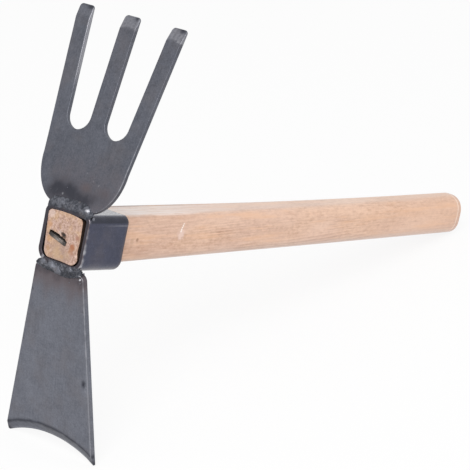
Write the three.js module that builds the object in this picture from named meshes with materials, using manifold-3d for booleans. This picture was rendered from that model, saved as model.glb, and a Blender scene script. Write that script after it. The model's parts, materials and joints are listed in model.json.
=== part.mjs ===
// Hand cultivator: a three-tine fork and a flaring hoe blade, welded to a square steel eye on a
// straight hardwood handle that a steel wedge spreads inside the eye.
//
// Millimetres. In the tool's own group X runs along the eye from its front to the butt, Y runs
// across the tool and Z points to the fork. The whole tool is then tilted to stand as it does when
// it is set down: on the two corners of its cutting edge and on the underside of its butt.

import * as THREE from "three";
import { mergeVertices } from "three/addons/utils/BufferGeometryUtils.js";
import Module from "manifold-3d";

const wasm = await Module();
wasm.setup();

// Clearances and cutting tools
const seatGap = 0.3; // between pieces that touch, are welded or are driven together
const cutOverrun = 2; // how far a cutting tool reaches past the piece that it cuts

// Eye: flat bar bent into a square ring and welded shut underneath
const eyeWidth = 33;
const eyeHeight = 32;
const eyeWall = 2.6;
const eyeUpperBendRadius = 4.4;
const eyeLowerBendRadius = 7.2;
const eyeLength = 33.2;
const eyeEdgeBreak = 0.4;

// Fork: one plate, round at its shoulders, slotted into three tines with ground tips
const forkThickness = 2.8;
const forkLeanDegrees = 10.2;
const forkSetback = 0.4;
const forkFootWidth = 21.4;
const forkShoulderWidth = 60.4;
const forkShoulderHeight = 26.7;
const forkTipWidth = 78;
const forkHeight = 110.6;
const forkEdgeBreak = 0.3;
const middleTineWidth = 10.9;
const outerTineTipWidth = 10.2;
const slotFloorHeight = 42.7;
const slotEndRadius = 8.5;
const tineCornerRadius = 1.8;
const tineGrindLength = 8.2;
const tineEdgeThickness = 0.9;

// Hoe: one plate that flares to a hollow cutting edge, ground on its front
const hoeThickness = 3.7;
const hoeLeanDegrees = 10.8;
const hoeSetback = 1.4;
const hoeTopWidth = 34.8;
const hoeTopCornerRadius = 4.5;
const hoeEdgeWidth = 67.1;
const hoeHeight = 109.7;
const hoeEdgeHollow = 8.3;
const hoeGrindWidth = 5.4;
const hoeEdgeThickness = 0.8;
const hoeEdgeBreak = 0.3;

// Handle: square tenon in the eye, a short shoulder above it, a slight waist and an oval butt
const handleReach = 397;
const tenonProud = 0.4;
const tenonWidth = 25.6;
const tenonUpperCornerRadius = 2.6;
const tenonEdgeRound = 0.6;
const shoulderRun = 3.6;
const handleHeadHeight = 27.2;
const handleHeadWidth = 25;
const handleHeadCornerRadius = 3;
const handleButtHeight = 27.1;
const handleButtWidth = 23.5;
const handleButtCornerRadius = 10.3;
const handleWaist = 1.4; // how much lower the handle is at its middle, all of it on the upper side
const handlePitchDegrees = 2;
const handleAxisLift = 0.43; // of the handle's axis above the eye's centre, at the eye's front
const buttEdgeRound = 1;

// Wedge: a tapered steel strip driven slantwise into the end grain, loose on its upper side
const wedgeWidth = 12.6;
const wedgeFaceThickness = 2.2;
const wedgePointThickness = 0.7;
const wedgeLength = 22;
const wedgeCornerRadius = 0.25;
const wedgeProud = 0.5;
const wedgeAcross = 3.1;
const wedgeBelow = 1.3;
const wedgeTiltDegrees = 23.7;
const wedgeSlit = 0.7;
const kerfSpareDepth = 3;

// Welds: rippled beads in front of each plate, behind it and along the seam of the eye
const weldRipplePitch = 2.6;
const frontWeldRippleShare = 0.1;
const backWeldRippleShare = 0.22;
const weldRippleLag = 0.9;
const weldEndShare = 0.2;
const forkFrontWeldLength = 31;
const forkFrontWeldRise = 6.4;
const hoeFrontWeldLength = 31.5;
const hoeFrontWeldRise = 4;
const frontWeldDrop = 2.8;
const frontWeldCrown = 1.2;
const forkBackWeldLength = 26;
const hoeBackWeldLength = 22;
const backWeldLeg = 4.6;
const backWeldCrown = 0.9;
const seamWeldWidth = 5;
const seamWeldCrown = 1.1;
const seamWeldInset = 1.2;

// Smoothness of the curves, in counts
const bendSteps = 6;
const shoulderSteps = 18;
const slotSteps = 20;
const cornerSteps = 4;
const grindSteps = 200;
const handleCornerSteps = 8;
const handleTaperSteps = 12;
const shoulderRampSteps = 6;
const edgeRoundSteps = 5;
const wedgeCornerSteps = 2;
const weldCrownSteps = 6;
const weldStepsPerRipple = 4;

const forkLean = THREE.MathUtils.degToRad(forkLeanDegrees);
const hoeLean = THREE.MathUtils.degToRad(hoeLeanDegrees);
const handlePitch = THREE.MathUtils.degToRad(handlePitchDegrees);
const eyeHalfHeight = eyeHeight / 2;

const blackSteel = { color: 0x4a4d52, roughness: 0.55, metalness: 0.75 };
const weldSteel = { color: 0x5b6066, roughness: 0.5, metalness: 0.7 };
const wedgeSteel = { color: 0x77736f, roughness: 0.5, metalness: 0.75 };
const paleWood = { color: 0xd3ad86, roughness: 0.7, metalness: 0 };

// Solids and cuts

function toSolid(geometry) {
  const bare = geometry.clone();
  bare.deleteAttribute("normal");
  bare.deleteAttribute("uv");
  const merged = mergeVertices(bare);
  return new wasm.Manifold(new wasm.Mesh({
    numProp: 3,
    vertProperties: Float32Array.from(merged.attributes.position.array),
    triVerts: Uint32Array.from(merged.index.array),
  }));
}

function toGeometry(solid) {
  const mesh = solid.getMesh();
  const geometry = new THREE.BufferGeometry();
  geometry.setAttribute("position", new THREE.BufferAttribute(mesh.vertProperties, 3));
  geometry.setIndex(new THREE.BufferAttribute(mesh.triVerts, 1));
  geometry.computeVertexNormals();
  return geometry;
}

function cutFrom(geometry, ...cutters) {
  const body = cutters.reduce((rest, cutter) => rest.subtract(toSolid(cutter)), toSolid(geometry));
  return toGeometry(body);
}

// A closed solid through a row of rings of equally many points. The rings follow one another along
// the direction that their points turn round by the right-hand rule, and a fan closes each end.
function loft(rings) {
  const count = rings[0].length;
  const last = rings.length - 1;
  const middleOf = (ring) => ring
    .reduce((sum, point) => sum.add(point), new THREE.Vector3())
    .divideScalar(count);
  const points = [...rings.flat(), middleOf(rings[0]), middleOf(rings[last])];
  const startMiddle = points.length - 2;
  const endMiddle = points.length - 1;
  const triangles = [];
  for (let j = 0; j < count; j++) {
    const next = (j + 1) % count;
    triangles.push(startMiddle, next, j);
    triangles.push(endMiddle, last * count + j, last * count + next);
    for (let i = 0; i < last; i++) {
      const here = i * count;
      const there = here + count;
      triangles.push(here + j, here + next, there + next);
      triangles.push(here + j, there + next, there + j);
    }
  }
  const geometry = new THREE.BufferGeometry().setFromPoints(points);
  geometry.setIndex(triangles);
  geometry.computeVertexNormals();
  return geometry;
}

// An outline through its corners. A corner with a radius is rounded by an arc that is tangent to
// both of its sides.
function outlineThrough(corners) {
  const points = [];
  corners.forEach((corner, i) => {
    if (!corner.radius) {
      points.push(new THREE.Vector2(corner.x, corner.y));
      return;
    }
    const before = corners[(i + corners.length - 1) % corners.length];
    const after = corners[(i + 1) % corners.length];
    const here = new THREE.Vector2(corner.x, corner.y);
    const back = new THREE.Vector2(before.x, before.y).sub(here).normalize();
    const ahead = new THREE.Vector2(after.x, after.y).sub(here).normalize();
    const halfAngle = Math.acos(THREE.MathUtils.clamp(back.dot(ahead), -1, 1)) / 2;
    const inward = back.clone().add(ahead).normalize();
    const centre = here.clone().addScaledVector(inward, corner.radius / Math.sin(halfAngle));
    const tangentLength = corner.radius / Math.tan(halfAngle);
    const startSpoke = here.clone().addScaledVector(back, tangentLength).sub(centre);
    const endSpoke = here.clone().addScaledVector(ahead, tangentLength).sub(centre);
    const sweep = Math.atan2(startSpoke.cross(endSpoke), startSpoke.dot(endSpoke));
    for (let k = 0; k <= cornerSteps; k++) {
      const turn = (sweep * k) / cornerSteps;
      points.push(startSpoke.clone().rotateAround(new THREE.Vector2(), turn).add(centre));
    }
  });
  return points;
}

// A rounded rectangle about the origin, turning from the first axis to the second. Its two lower
// corners may have a radius of their own.
function roundedRectangle(width, height, upperRadius, steps, lowerRadius = upperRadius) {
  const points = [];
  const quarters = [[1, -1], [1, 1], [-1, 1], [-1, -1]];
  quarters.forEach(([sideways, upwards], quarter) => {
    const radius = upwards > 0 ? upperRadius : lowerRadius;
    for (let k = 0; k <= steps; k++) {
      const angle = ((quarter - 1 + k / steps) * Math.PI) / 2;
      points.push(new THREE.Vector2(
        sideways * (width / 2 - radius) + radius * Math.cos(angle),
        upwards * (height / 2 - radius) + radius * Math.sin(angle),
      ));
    }
  });
  return points;
}

// A plate of this outline from its front face to its back face, with its sharp edges broken
function plate(outline, thickness, edgeBreak, holes = []) {
  const shape = new THREE.Shape(outline);
  shape.holes = holes.map((hole) => new THREE.Path(hole));
  const geometry = new THREE.ExtrudeGeometry(shape, {
    depth: thickness - edgeBreak - edgeBreak,
    bevelEnabled: true,
    bevelThickness: edgeBreak,
    bevelSize: edgeBreak,
    bevelOffset: -edgeBreak,
    bevelSegments: 1,
  });
  return geometry.translate(0, 0, edgeBreak);
}

// A wedge that runs along +Z from a thick face to a thin point, with its width along X
function taperedStrip(width, faceThickness, pointThickness, length) {
  const ringAt = (distance, thickness) => roundedRectangle(
    width,
    thickness,
    wedgeCornerRadius,
    wedgeCornerSteps,
  ).map((point) => new THREE.Vector3(point.x, point.y, distance));
  return loft([ringAt(0, faceThickness), ringAt(length, pointThickness)]);
}

// Eye

function eyeGeometry() {
  const ringAt = (inset) => roundedRectangle(
    eyeWidth - inset - inset,
    eyeHeight - inset - inset,
    eyeUpperBendRadius - inset,
    bendSteps,
    eyeLowerBendRadius - inset,
  );
  return plate(ringAt(0), eyeLength, eyeEdgeBreak, [ringAt(eyeWall)]);
}

// Plates. Both are drawn with Y away from the eye and their front face at z = 0. A plate's foot
// starts where its lower back edge clears the eye that it stands on.

function footClearance(thickness, lean) {
  return (seatGap + thickness * Math.sin(lean)) / Math.cos(lean);
}

// The right half of the fork's outline, from the middle of its foot round to the middle tine
function forkHalfOutline() {
  const foot = footClearance(forkThickness, forkLean);
  const footHalf = forkFootWidth / 2;
  const shoulderReach = forkShoulderWidth / 2 - footHalf;
  const shoulderRise = forkShoulderHeight - foot;
  const corners = [];
  for (let k = 0; k <= shoulderSteps; k++) {
    const angle = (k / shoulderSteps) * (Math.PI / 2);
    corners.push({
      x: footHalf + shoulderReach * Math.sin(angle),
      y: forkShoulderHeight - shoulderRise * Math.cos(angle),
    });
  }
  const tipHalf = forkTipWidth / 2;
  const innerTip = tipHalf - outerTineTipWidth;
  const tineHalf = middleTineWidth / 2;
  corners.push({ x: tipHalf, y: forkHeight, radius: tineCornerRadius });
  corners.push({ x: innerTip, y: forkHeight, radius: tineCornerRadius });

  // The slot's end is an arc from the outer tine's slanting edge to the middle tine's straight one.
  const endX = tineHalf + slotEndRadius;
  const endY = slotFloorHeight + slotEndRadius;
  const slant = Math.atan2(innerTip - endX - slotEndRadius, forkHeight - endY);
  for (let k = 0; k <= slotSteps; k++) {
    const angle = -slant - (k / slotSteps) * (Math.PI - slant);
    corners.push({
      x: endX + slotEndRadius * Math.cos(angle),
      y: endY + slotEndRadius * Math.sin(angle),
    });
  }
  corners.push({ x: tineHalf, y: forkHeight, radius: tineCornerRadius });
  return corners;
}

// The grinder's path across all three tips: it meets the front face at the start of the ground
// length and leaves only the edge thickness at the tips.
function tineGrinder() {
  const start = forkHeight - tineGrindLength;
  const slope = (forkThickness - tineEdgeThickness) / tineGrindLength;
  const end = forkHeight + cutOverrun;
  const profile = new THREE.Shape([
    new THREE.Vector2(-cutOverrun, start),
    new THREE.Vector2(0, start),
    new THREE.Vector2(slope * (end - start), end),
    new THREE.Vector2(-cutOverrun, end),
  ]);
  const reach = forkTipWidth + cutOverrun;
  const grinder = new THREE.ExtrudeGeometry(profile, { depth: reach, bevelEnabled: false });
  return grinder.translate(0, 0, -reach / 2).rotateY(-Math.PI / 2);
}

function forkGeometry() {
  const right = forkHalfOutline();
  const left = right.map((corner) => ({ ...corner, x: -corner.x })).reverse();
  const blank = plate(outlineThrough([...right, ...left]), forkThickness, forkEdgeBreak);
  return cutFrom(blank, tineGrinder());
}

// A flat cone that hollows the hoe's edge and grinds its front face in one cut. Its back circle
// passes through both corners of the edge and through the middle of the hollow.
function hoeGrinder() {
  const halfEdge = hoeEdgeWidth / 2;
  const edgeRadius = (halfEdge * halfEdge + hoeEdgeHollow * hoeEdgeHollow)
    / (hoeEdgeHollow + hoeEdgeHollow);
  const grindDepth = hoeThickness - hoeEdgeThickness;
  const spread = hoeGrindWidth / grindDepth;
  const profile = [
    new THREE.Vector2(0, -cutOverrun),
    new THREE.Vector2(edgeRadius + hoeGrindWidth + spread * cutOverrun, -cutOverrun),
    new THREE.Vector2(edgeRadius, grindDepth),
    new THREE.Vector2(edgeRadius, hoeThickness + cutOverrun),
    new THREE.Vector2(0, hoeThickness + cutOverrun),
  ];
  const cone = new THREE.LatheGeometry(profile, grindSteps);
  return cone.rotateX(Math.PI / 2).translate(0, hoeHeight - hoeEdgeHollow + edgeRadius, 0);
}

function hoeGeometry() {
  const foot = footClearance(hoeThickness, hoeLean);
  const topHalf = hoeTopWidth / 2;
  const edgeHalf = hoeEdgeWidth / 2;
  const blank = plate(outlineThrough([
    { x: -topHalf, y: foot, radius: hoeTopCornerRadius },
    { x: topHalf, y: foot, radius: hoeTopCornerRadius },
    { x: edgeHalf, y: hoeHeight },
    { x: -edgeHalf, y: hoeHeight },
  ]), hoeThickness, hoeEdgeBreak);
  return cutFrom(blank, hoeGrinder());
}

// Welds. A bead runs along X. Its section lies in the Y and Z directions between two toes and a
// heel, and its crown swells between the toes. Ripples lean along the bead, and both ends die out.

function weldBead({ length, firstToe, heel, secondToe, outward, crown, rippleShare }) {
  const ripples = Math.max(2, Math.round(length / weldRipplePitch));
  const stations = ripples * weldStepsPerRipple;
  const rings = [];
  for (let i = 0; i <= stations; i++) {
    const along = (i / stations) * 2 - 1;
    const swell = Math.max(Math.sqrt(1 - along ** 4), weldEndShare);
    const ripple = Math.abs(Math.cos((i / weldStepsPerRipple) * Math.PI));
    const height = crown * (1 - rippleShare * ripple);
    const shrink = (point) => heel.clone().lerp(point, swell);
    const section = [shrink(firstToe), heel.clone(), shrink(secondToe)]
      .map((point) => ({ point, lag: 0 }));
    for (let k = 1; k < weldCrownSteps; k++) {
      const share = k / weldCrownSteps;
      const bulge = Math.sin(Math.PI * share) * swell;
      const point = shrink(secondToe).lerp(shrink(firstToe), share);
      point.addScaledVector(outward, height * Math.sqrt(bulge * swell));
      section.push({ point, lag: weldRippleLag * bulge * (1 - along * along) });
    }
    if (THREE.ShapeUtils.isClockWise(section.map((place) => place.point))) {
      section.reverse();
    }
    rings.push(section.map(({ point, lag }) => new THREE.Vector3(
      (along * length) / 2 + lag,
      point.x,
      point.y,
    )));
  }
  return loft(rings);
}

// The front bead bridges the eye's front edge and the plate's front face. The back bead fills the
// corner behind the plate. Both are drawn beside the plate, in its own group, where the first
// coordinate runs up the plate and the second through it.
function plateWelds(thickness, lean, setback, rise) {
  const alongEye = new THREE.Vector2(Math.sin(lean), Math.cos(lean));
  const awayFromEye = new THREE.Vector2(Math.cos(lean), -Math.sin(lean));
  const eyeFront = alongEye.clone().multiplyScalar(-setback - seatGap);
  const frontHeel = eyeFront.clone().addScaledVector(awayFromEye, seatGap);
  const backReach = (thickness + seatGap + seatGap * Math.sin(lean)) / Math.cos(lean);
  const backHeel = alongEye.clone().multiplyScalar(backReach)
    .addScaledVector(awayFromEye, seatGap);
  const front = {
    firstToe: eyeFront.clone().addScaledVector(awayFromEye, -frontWeldDrop),
    heel: frontHeel,
    secondToe: new THREE.Vector2(rise, -seatGap),
    outward: new THREE.Vector2(0, -1),
    crown: frontWeldCrown,
    rippleShare: frontWeldRippleShare,
  };
  const back = {
    firstToe: backHeel.clone().addScaledVector(alongEye, backWeldLeg),
    heel: backHeel,
    secondToe: backHeel.clone().add(new THREE.Vector2(backWeldLeg, 0)),
    outward: new THREE.Vector2(1, 1).normalize(),
    crown: backWeldCrown,
    rippleShare: backWeldRippleShare,
  };
  return { front, back };
}

// The seam bead lies under the eye, behind the hoe's own weld
function seamBead() {
  const hoeBack = hoeSetback + hoeThickness / Math.cos(hoeLean) + backWeldLeg;
  const start = hoeBack + seamWeldInset;
  const length = eyeLength - seamWeldInset - start;
  const underside = -eyeHalfHeight - seatGap;
  const bead = weldBead({
    length,
    firstToe: new THREE.Vector2(-seamWeldWidth / 2, underside),
    heel: new THREE.Vector2(0, underside),
    secondToe: new THREE.Vector2(seamWeldWidth / 2, underside),
    outward: new THREE.Vector2(0, -1),
    crown: seamWeldCrown,
    rippleShare: backWeldRippleShare,
  });
  return bead.translate(start + length / 2, 0, 0);
}

// Handle

// One ring round the handle: its centre on the axis, its slope and its size, drawn in by an inset
function handleRing({ x, z, pitch, width, height, upperRadius, lowerRadius, inset = 0 }) {
  return roundedRectangle(
    width - inset - inset,
    height - inset - inset,
    upperRadius - inset,
    handleCornerSteps,
    lowerRadius - inset,
  ).map((point) => new THREE.Vector3(
    x - point.y * Math.sin(pitch),
    point.x,
    z + point.y * Math.cos(pitch),
  ));
}

// The rings of an end whose edge is a quarter circle, from its flat face to the full section
function roundedEnd(edgeRound, ringAt) {
  const rings = [];
  for (let k = 0; k <= edgeRoundSteps; k++) {
    const angle = (k / edgeRoundSteps) * (Math.PI / 2);
    rings.push(ringAt(edgeRound * (1 - Math.cos(angle)), edgeRound * (1 - Math.sin(angle))));
  }
  return rings;
}

function handleGeometry() {
  const tenon = {
    z: 0,
    pitch: 0,
    width: tenonWidth,
    height: eyeHeight - eyeWall - eyeWall - seatGap - seatGap,
    upperRadius: tenonUpperCornerRadius,
    lowerRadius: eyeLowerBendRadius - eyeWall - seatGap,
  };
  const shoulderStart = eyeLength + seatGap;
  const taperStart = shoulderStart + shoulderRun;
  const axisHeight = (x) => x * Math.tan(handlePitch) + handleAxisLift;
  const between = THREE.MathUtils.lerp;

  const tapered = (x) => {
    const share = (x - taperStart) / (handleReach - taperStart);
    const waist = handleWaist * Math.sin(Math.PI * share);
    const radius = between(handleHeadCornerRadius, handleButtCornerRadius, share);
    return {
      x,
      z: axisHeight(x) - waist / 2,
      pitch: handlePitch,
      width: between(handleHeadWidth, handleButtWidth, share),
      height: between(handleHeadHeight, handleButtHeight, share) - waist,
      upperRadius: radius,
      lowerRadius: radius,
    };
  };
  const ramp = (share) => {
    const x = between(shoulderStart, taperStart, share);
    const full = tapered(x);
    const ease = THREE.MathUtils.smoothstep(share, 0, 1);
    const mix = (key) => between(tenon[key], full[key], ease);
    return {
      x,
      z: mix("z"),
      pitch: mix("pitch"),
      width: mix("width"),
      height: mix("height"),
      upperRadius: mix("upperRadius"),
      lowerRadius: mix("lowerRadius"),
    };
  };

  const rings = roundedEnd(
    tenonEdgeRound,
    (depth, inset) => handleRing({ ...tenon, x: depth - tenonProud, inset }),
  );
  for (let k = 0; k <= shoulderRampSteps; k++) {
    rings.push(handleRing(ramp(k / shoulderRampSteps)));
  }
  const taperEnd = handleReach - buttEdgeRound;
  for (let k = 1; k < handleTaperSteps; k++) {
    rings.push(handleRing(tapered(between(taperStart, taperEnd, k / handleTaperSteps))));
  }
  const butt = roundedEnd(
    buttEdgeRound,
    (depth, inset) => handleRing({ ...tapered(handleReach - depth), inset }),
  );
  return loft([...rings, ...butt.reverse()]);
}

// Wedge and its kerf. Both lie in one group, turned to the slant of the kerf, with the wedge
// against the lower side of the kerf and the slit left open above it.

function placeInEndGrain(geometry, lift) {
  return geometry
    .translate(0, lift, 0)
    .applyMatrix4(new THREE.Matrix4().makeBasis(
      new THREE.Vector3(0, 1, 0),
      new THREE.Vector3(0, 0, 1),
      new THREE.Vector3(1, 0, 0),
    ))
    .rotateX(THREE.MathUtils.degToRad(wedgeTiltDegrees))
    .translate(-tenonProud, wedgeAcross, -wedgeBelow);
}

function wedgeGeometry() {
  const strip = taperedStrip(wedgeWidth, wedgeFaceThickness, wedgePointThickness, wedgeLength);
  return placeInEndGrain(strip.translate(0, 0, -wedgeProud), 0);
}

function kerfGeometry() {
  const slack = seatGap + seatGap;
  const taper = (wedgeFaceThickness - wedgePointThickness) / wedgeLength;
  const length = wedgeLength + kerfSpareDepth + cutOverrun;
  const mouth = wedgeFaceThickness + slack + wedgeSlit + taper * cutOverrun;
  const kerf = taperedStrip(wedgeWidth + slack, mouth, mouth - taper * length, length);
  return placeInEndGrain(kerf.translate(0, 0, -cutOverrun), wedgeSlit / 2);
}

// Assembly

function named(name, geometry, look) {
  const mesh = new THREE.Mesh(geometry, new THREE.MeshStandardMaterial(look));
  mesh.name = name;
  return mesh;
}

// A group whose X runs across the tool, whose Y climbs along a plate that leans towards the butt,
// and whose Z goes through the plate from front to back. Upwards is 1 for the fork, -1 for the hoe.
function plateGroup(lean, setback, upwards, ...meshes) {
  const group = new THREE.Group();
  const frame = new THREE.Matrix4().makeBasis(
    new THREE.Vector3(0, upwards, 0),
    new THREE.Vector3(Math.sin(lean), 0, upwards * Math.cos(lean)),
    new THREE.Vector3(Math.cos(lean), 0, -upwards * Math.sin(lean)),
  );
  group.setRotationFromMatrix(frame);
  group.position.set(setback, 0, upwards * eyeHalfHeight);
  group.add(...meshes);
  return group;
}

const forkWelds = plateWelds(forkThickness, forkLean, forkSetback, forkFrontWeldRise);
const hoeWelds = plateWelds(hoeThickness, hoeLean, hoeSetback, hoeFrontWeldRise);

const forkGroup = plateGroup(
  forkLean,
  forkSetback,
  1,
  named("fork", forkGeometry(), blackSteel),
  named("weld_fork_front", weldBead({ ...forkWelds.front, length: forkFrontWeldLength }), weldSteel),
  named("weld_fork_back", weldBead({ ...forkWelds.back, length: forkBackWeldLength }), weldSteel),
);
const hoeGroup = plateGroup(
  hoeLean,
  hoeSetback,
  -1,
  named("hoe_blade", hoeGeometry(), blackSteel),
  named("weld_hoe_front", weldBead({ ...hoeWelds.front, length: hoeFrontWeldLength }), weldSteel),
  named("weld_hoe_back", weldBead({ ...hoeWelds.back, length: hoeBackWeldLength }), weldSteel),
);

const eye = named("eye_ring", eyeGeometry(), blackSteel);
eye.setRotationFromMatrix(new THREE.Matrix4().makeBasis(
  new THREE.Vector3(0, 1, 0),
  new THREE.Vector3(0, 0, 1),
  new THREE.Vector3(1, 0, 0),
));

const handle = named("handle", cutFrom(handleGeometry(), kerfGeometry()), paleWood);
const wedge = named("wedge", wedgeGeometry(), wedgeSteel);
const seamWeld = named("weld_eye_seam", seamBead(), weldSteel);

const tool = new THREE.Group();
tool.add(forkGroup, hoeGroup, eye, seamWeld, handle, wedge);

// The tool stands on a line from the hoe's back corners that just touches the handle's underside.
function standingTilt() {
  const cornerX = hoeSetback + hoeHeight * Math.sin(hoeLean) + hoeThickness * Math.cos(hoeLean);
  const cornerZ = -eyeHalfHeight - hoeHeight * Math.cos(hoeLean) + hoeThickness * Math.sin(hoeLean);
  const places = handle.geometry.attributes.position;
  let tilt = Math.PI / 2;
  for (let i = 0; i < places.count; i++) {
    if (places.getX(i) > handleReach / 2) {
      tilt = Math.min(tilt, Math.atan2(places.getZ(i) - cornerZ, places.getX(i) - cornerX));
    }
  }
  return tilt;
}
tool.rotation.y = standingTilt();

// The origin lies on the ground below the middle of the tool
const cultivator = new THREE.Group();
cultivator.add(tool);
cultivator.updateMatrixWorld(true);
const extent = new THREE.Box3().setFromObject(cultivator, true);
const middle = extent.getCenter(new THREE.Vector3());
tool.position.set(-middle.x, -middle.y, -extent.min.z);

export default cultivator;
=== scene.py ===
# Looks of the hand cultivator: finer pieces, finishes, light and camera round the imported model.
#
# Pieces are worked out in the tool's own millimetres, where X runs along the eye to the butt, Y
# across the tool and Z to the fork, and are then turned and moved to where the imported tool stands.
import json
import math

import bmesh
import bpy
import numpy as np
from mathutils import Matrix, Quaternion, Vector
from mathutils.geometry import delaunay_2d_cdt


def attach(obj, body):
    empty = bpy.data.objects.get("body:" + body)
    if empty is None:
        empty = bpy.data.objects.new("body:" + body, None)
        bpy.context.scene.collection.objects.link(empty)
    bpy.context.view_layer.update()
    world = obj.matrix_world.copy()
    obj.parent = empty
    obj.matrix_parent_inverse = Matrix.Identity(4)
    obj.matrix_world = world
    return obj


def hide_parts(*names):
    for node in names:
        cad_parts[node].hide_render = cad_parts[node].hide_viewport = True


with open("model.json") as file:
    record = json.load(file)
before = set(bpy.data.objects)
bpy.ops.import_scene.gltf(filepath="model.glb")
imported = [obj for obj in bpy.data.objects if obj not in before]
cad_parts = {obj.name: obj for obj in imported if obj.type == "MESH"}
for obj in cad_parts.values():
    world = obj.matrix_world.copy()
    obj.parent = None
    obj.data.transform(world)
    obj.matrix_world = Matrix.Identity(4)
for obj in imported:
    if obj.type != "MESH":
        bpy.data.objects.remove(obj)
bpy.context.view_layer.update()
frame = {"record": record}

MM = 0.001
QUARTER = math.pi / 2
SEAT_GAP = 0.3

# Eye
EYE_WIDTH = 33.0
EYE_HEIGHT = 32.0
EYE_WALL = 2.6
EYE_BENDS = (4.4, 7.2)  # outer radius of the upper and of the lower bends
EYE_LENGTH = 33.2
EYE_EDGE_ROUND = 0.45
EYE_HALF = EYE_HEIGHT / 2
# The line below the upper bends is a painted highlight.
EYE_BEND_LINE = 10.9  # height of the bright line below the upper bends
EYE_SIDE_HOLLOW = 0.1
EYE_BEND_DRAW = 0.22  # how far the bar's edges are drawn in at the bends

# Fork
FORK_THICKNESS = 2.8
FORK_LEAN = math.radians(10.2)
FORK_SETBACK = 0.4
FORK_SEAT = (FORK_LEAN, FORK_SETBACK, 1)
FORK_FOOT_WIDTH = 21.4
FORK_SHOULDER_WIDTH = 60.4
FORK_SHOULDER_HEIGHT = 26.7
FORK_TIP_WIDTH = 78.0
FORK_HEIGHT = 110.6
FORK_EDGE_ROUND = 0.3
MIDDLE_TINE_WIDTH = 10.9
OUTER_TINE_TIP_WIDTH = 10.2
SLOT_FLOOR_HEIGHT = 42.7
SLOT_END_RADIUS = 8.5
TINE_CORNER_RADIUS = 2.0
TINE_GRIND_LENGTH = 8.2
TINE_EDGE_THICKNESS = 0.9

# Hoe
HOE_THICKNESS = 3.7
HOE_LEAN = math.radians(10.8)
HOE_SETBACK = 1.4
HOE_SEAT = (HOE_LEAN, HOE_SETBACK, -1)
HOE_TOP_WIDTH = 34.8
HOE_TOP_CORNER_RADIUS = 4.5
HOE_EDGE_WIDTH = 67.1
HOE_HEIGHT = 109.7
HOE_EDGE_HOLLOW = 8.3
HOE_GRIND_WIDTH = 5.4
HOE_EDGE_THICKNESS = 0.8
HOE_CORNER_ROUND = 0.9
HOE_EDGE_ROUND = 0.32
HOE_NICK = np.array([23.4, 62.5])  # a small dent near the blade's right edge
EDGE_RADIUS = ((HOE_EDGE_WIDTH / 2) ** 2 + HOE_EDGE_HOLLOW ** 2) / (2 * HOE_EDGE_HOLLOW)
EDGE_MIDDLE = HOE_HEIGHT - HOE_EDGE_HOLLOW + EDGE_RADIUS

# Handle
HANDLE_REACH = 397.0
TENON_PROUD = 0.4
TENON_WIDTH = 25.6
TENON_HEIGHT = 26.2
TENON_CORNERS = (2.6, 4.3)  # radius of the upper and of the lower corners
TENON_EDGE_ROUND = 0.6
SHOULDER_START = 33.5
SHOULDER_RUN = 3.6
HANDLE_HEAD = (25.0, 27.2, 3.0)  # width, height and corner radius behind the shoulder
HANDLE_BUTT = (23.5, 27.1, 10.3)  # the same at the butt
HANDLE_WAIST = 1.4
HANDLE_PITCH = math.radians(2.0)
HANDLE_AXIS_LIFT = 0.43
BUTT_EDGE_ROUND = 1.0
HANDLE_SHRINK = 0.03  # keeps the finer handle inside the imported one

# Wedge
WEDGE_WIDTH = 12.6
WEDGE_FACE_THICKNESS = 2.2
WEDGE_POINT_THICKNESS = 0.7
WEDGE_LENGTH = 22.0
WEDGE_CORNERS = (0.22, 0.22)
WEDGE_PROUD = 0.5
WEDGE_ACROSS = 3.1
WEDGE_BELOW = 1.5
WEDGE_TILT = math.radians(15.0)
KERF_OVERRUN = 1.4
KERF_DEPTH = 24.0

# Welds
RIPPLE_PITCH = 2.6
BACK_WELD_LEG = 4.6
BACK_WELD_CROWN = 0.9
SEAM_WELD_WIDTH = 5.0
SEAM_WELD_CROWN = 1.1
SEAM_WELD_START = 10.4
SEAM_WELD_END = 32.0
EYE_TOE_DEPTH = 0.15  # how far below the eye's front face the front beads end
PLATE_TOE_DEPTH = 0.12  # the same below the plate's front face
HIDDEN_RIPPLE, HIDDEN_LUMPS = 0.24, 0.1

# Fineness of the meshes
PLATE_STEP = 1.3
OUTLINE_STEP = 0.7
CREASE_STEP = 0.45
CREASE_INSET = 0.62  # how far inside the outline the loop lies that bounds a crease
CREASE_CLEARANCE = 0.32  # how far from that loop the crease stays
RIM_MARGIN = 0.3  # how far inside its rounded edge a plate's filled faces start
END_GRAIN_STEP = 0.62
BATCH = 2000

# Where the tool stands

mounts = {mount["name"]: mount for mount in frame["record"]["mounts"]}
butt_axis = mounts["butt_face"]["axis"]
TILT = HANDLE_PITCH - math.atan2(butt_axis[2], butt_axis[0])
EYE_MIDDLE = np.mean([mounts[side]["pos_m"] for side in ("eye_side_left", "eye_side_right")], 0)


def stacked(*parts):
    """Arrays and numbers, spread to one shape, side by side along a new last axis."""
    return np.stack(np.broadcast_arrays(*parts), -1)


def turned(first, second, angle):
    """(first cos - second sin, first sin + second cos): a turn in the plane of the two."""
    cos, sin = np.cos(angle), np.sin(angle)
    return first * cos - second * sin, first * sin + second * cos


def standing(points):
    """Tool millimetres to metres where the tool stands: from the eye's middle, a turn about Y by
    the tilt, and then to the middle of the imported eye."""
    x, y, z = np.moveaxis(points - [EYE_LENGTH / 2, 0, 0], -1, 0)
    z, x = turned(z, x, TILT)
    return stacked(x, y, z) * MM + EYE_MIDDLE


# Shapes shared by the pieces


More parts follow.
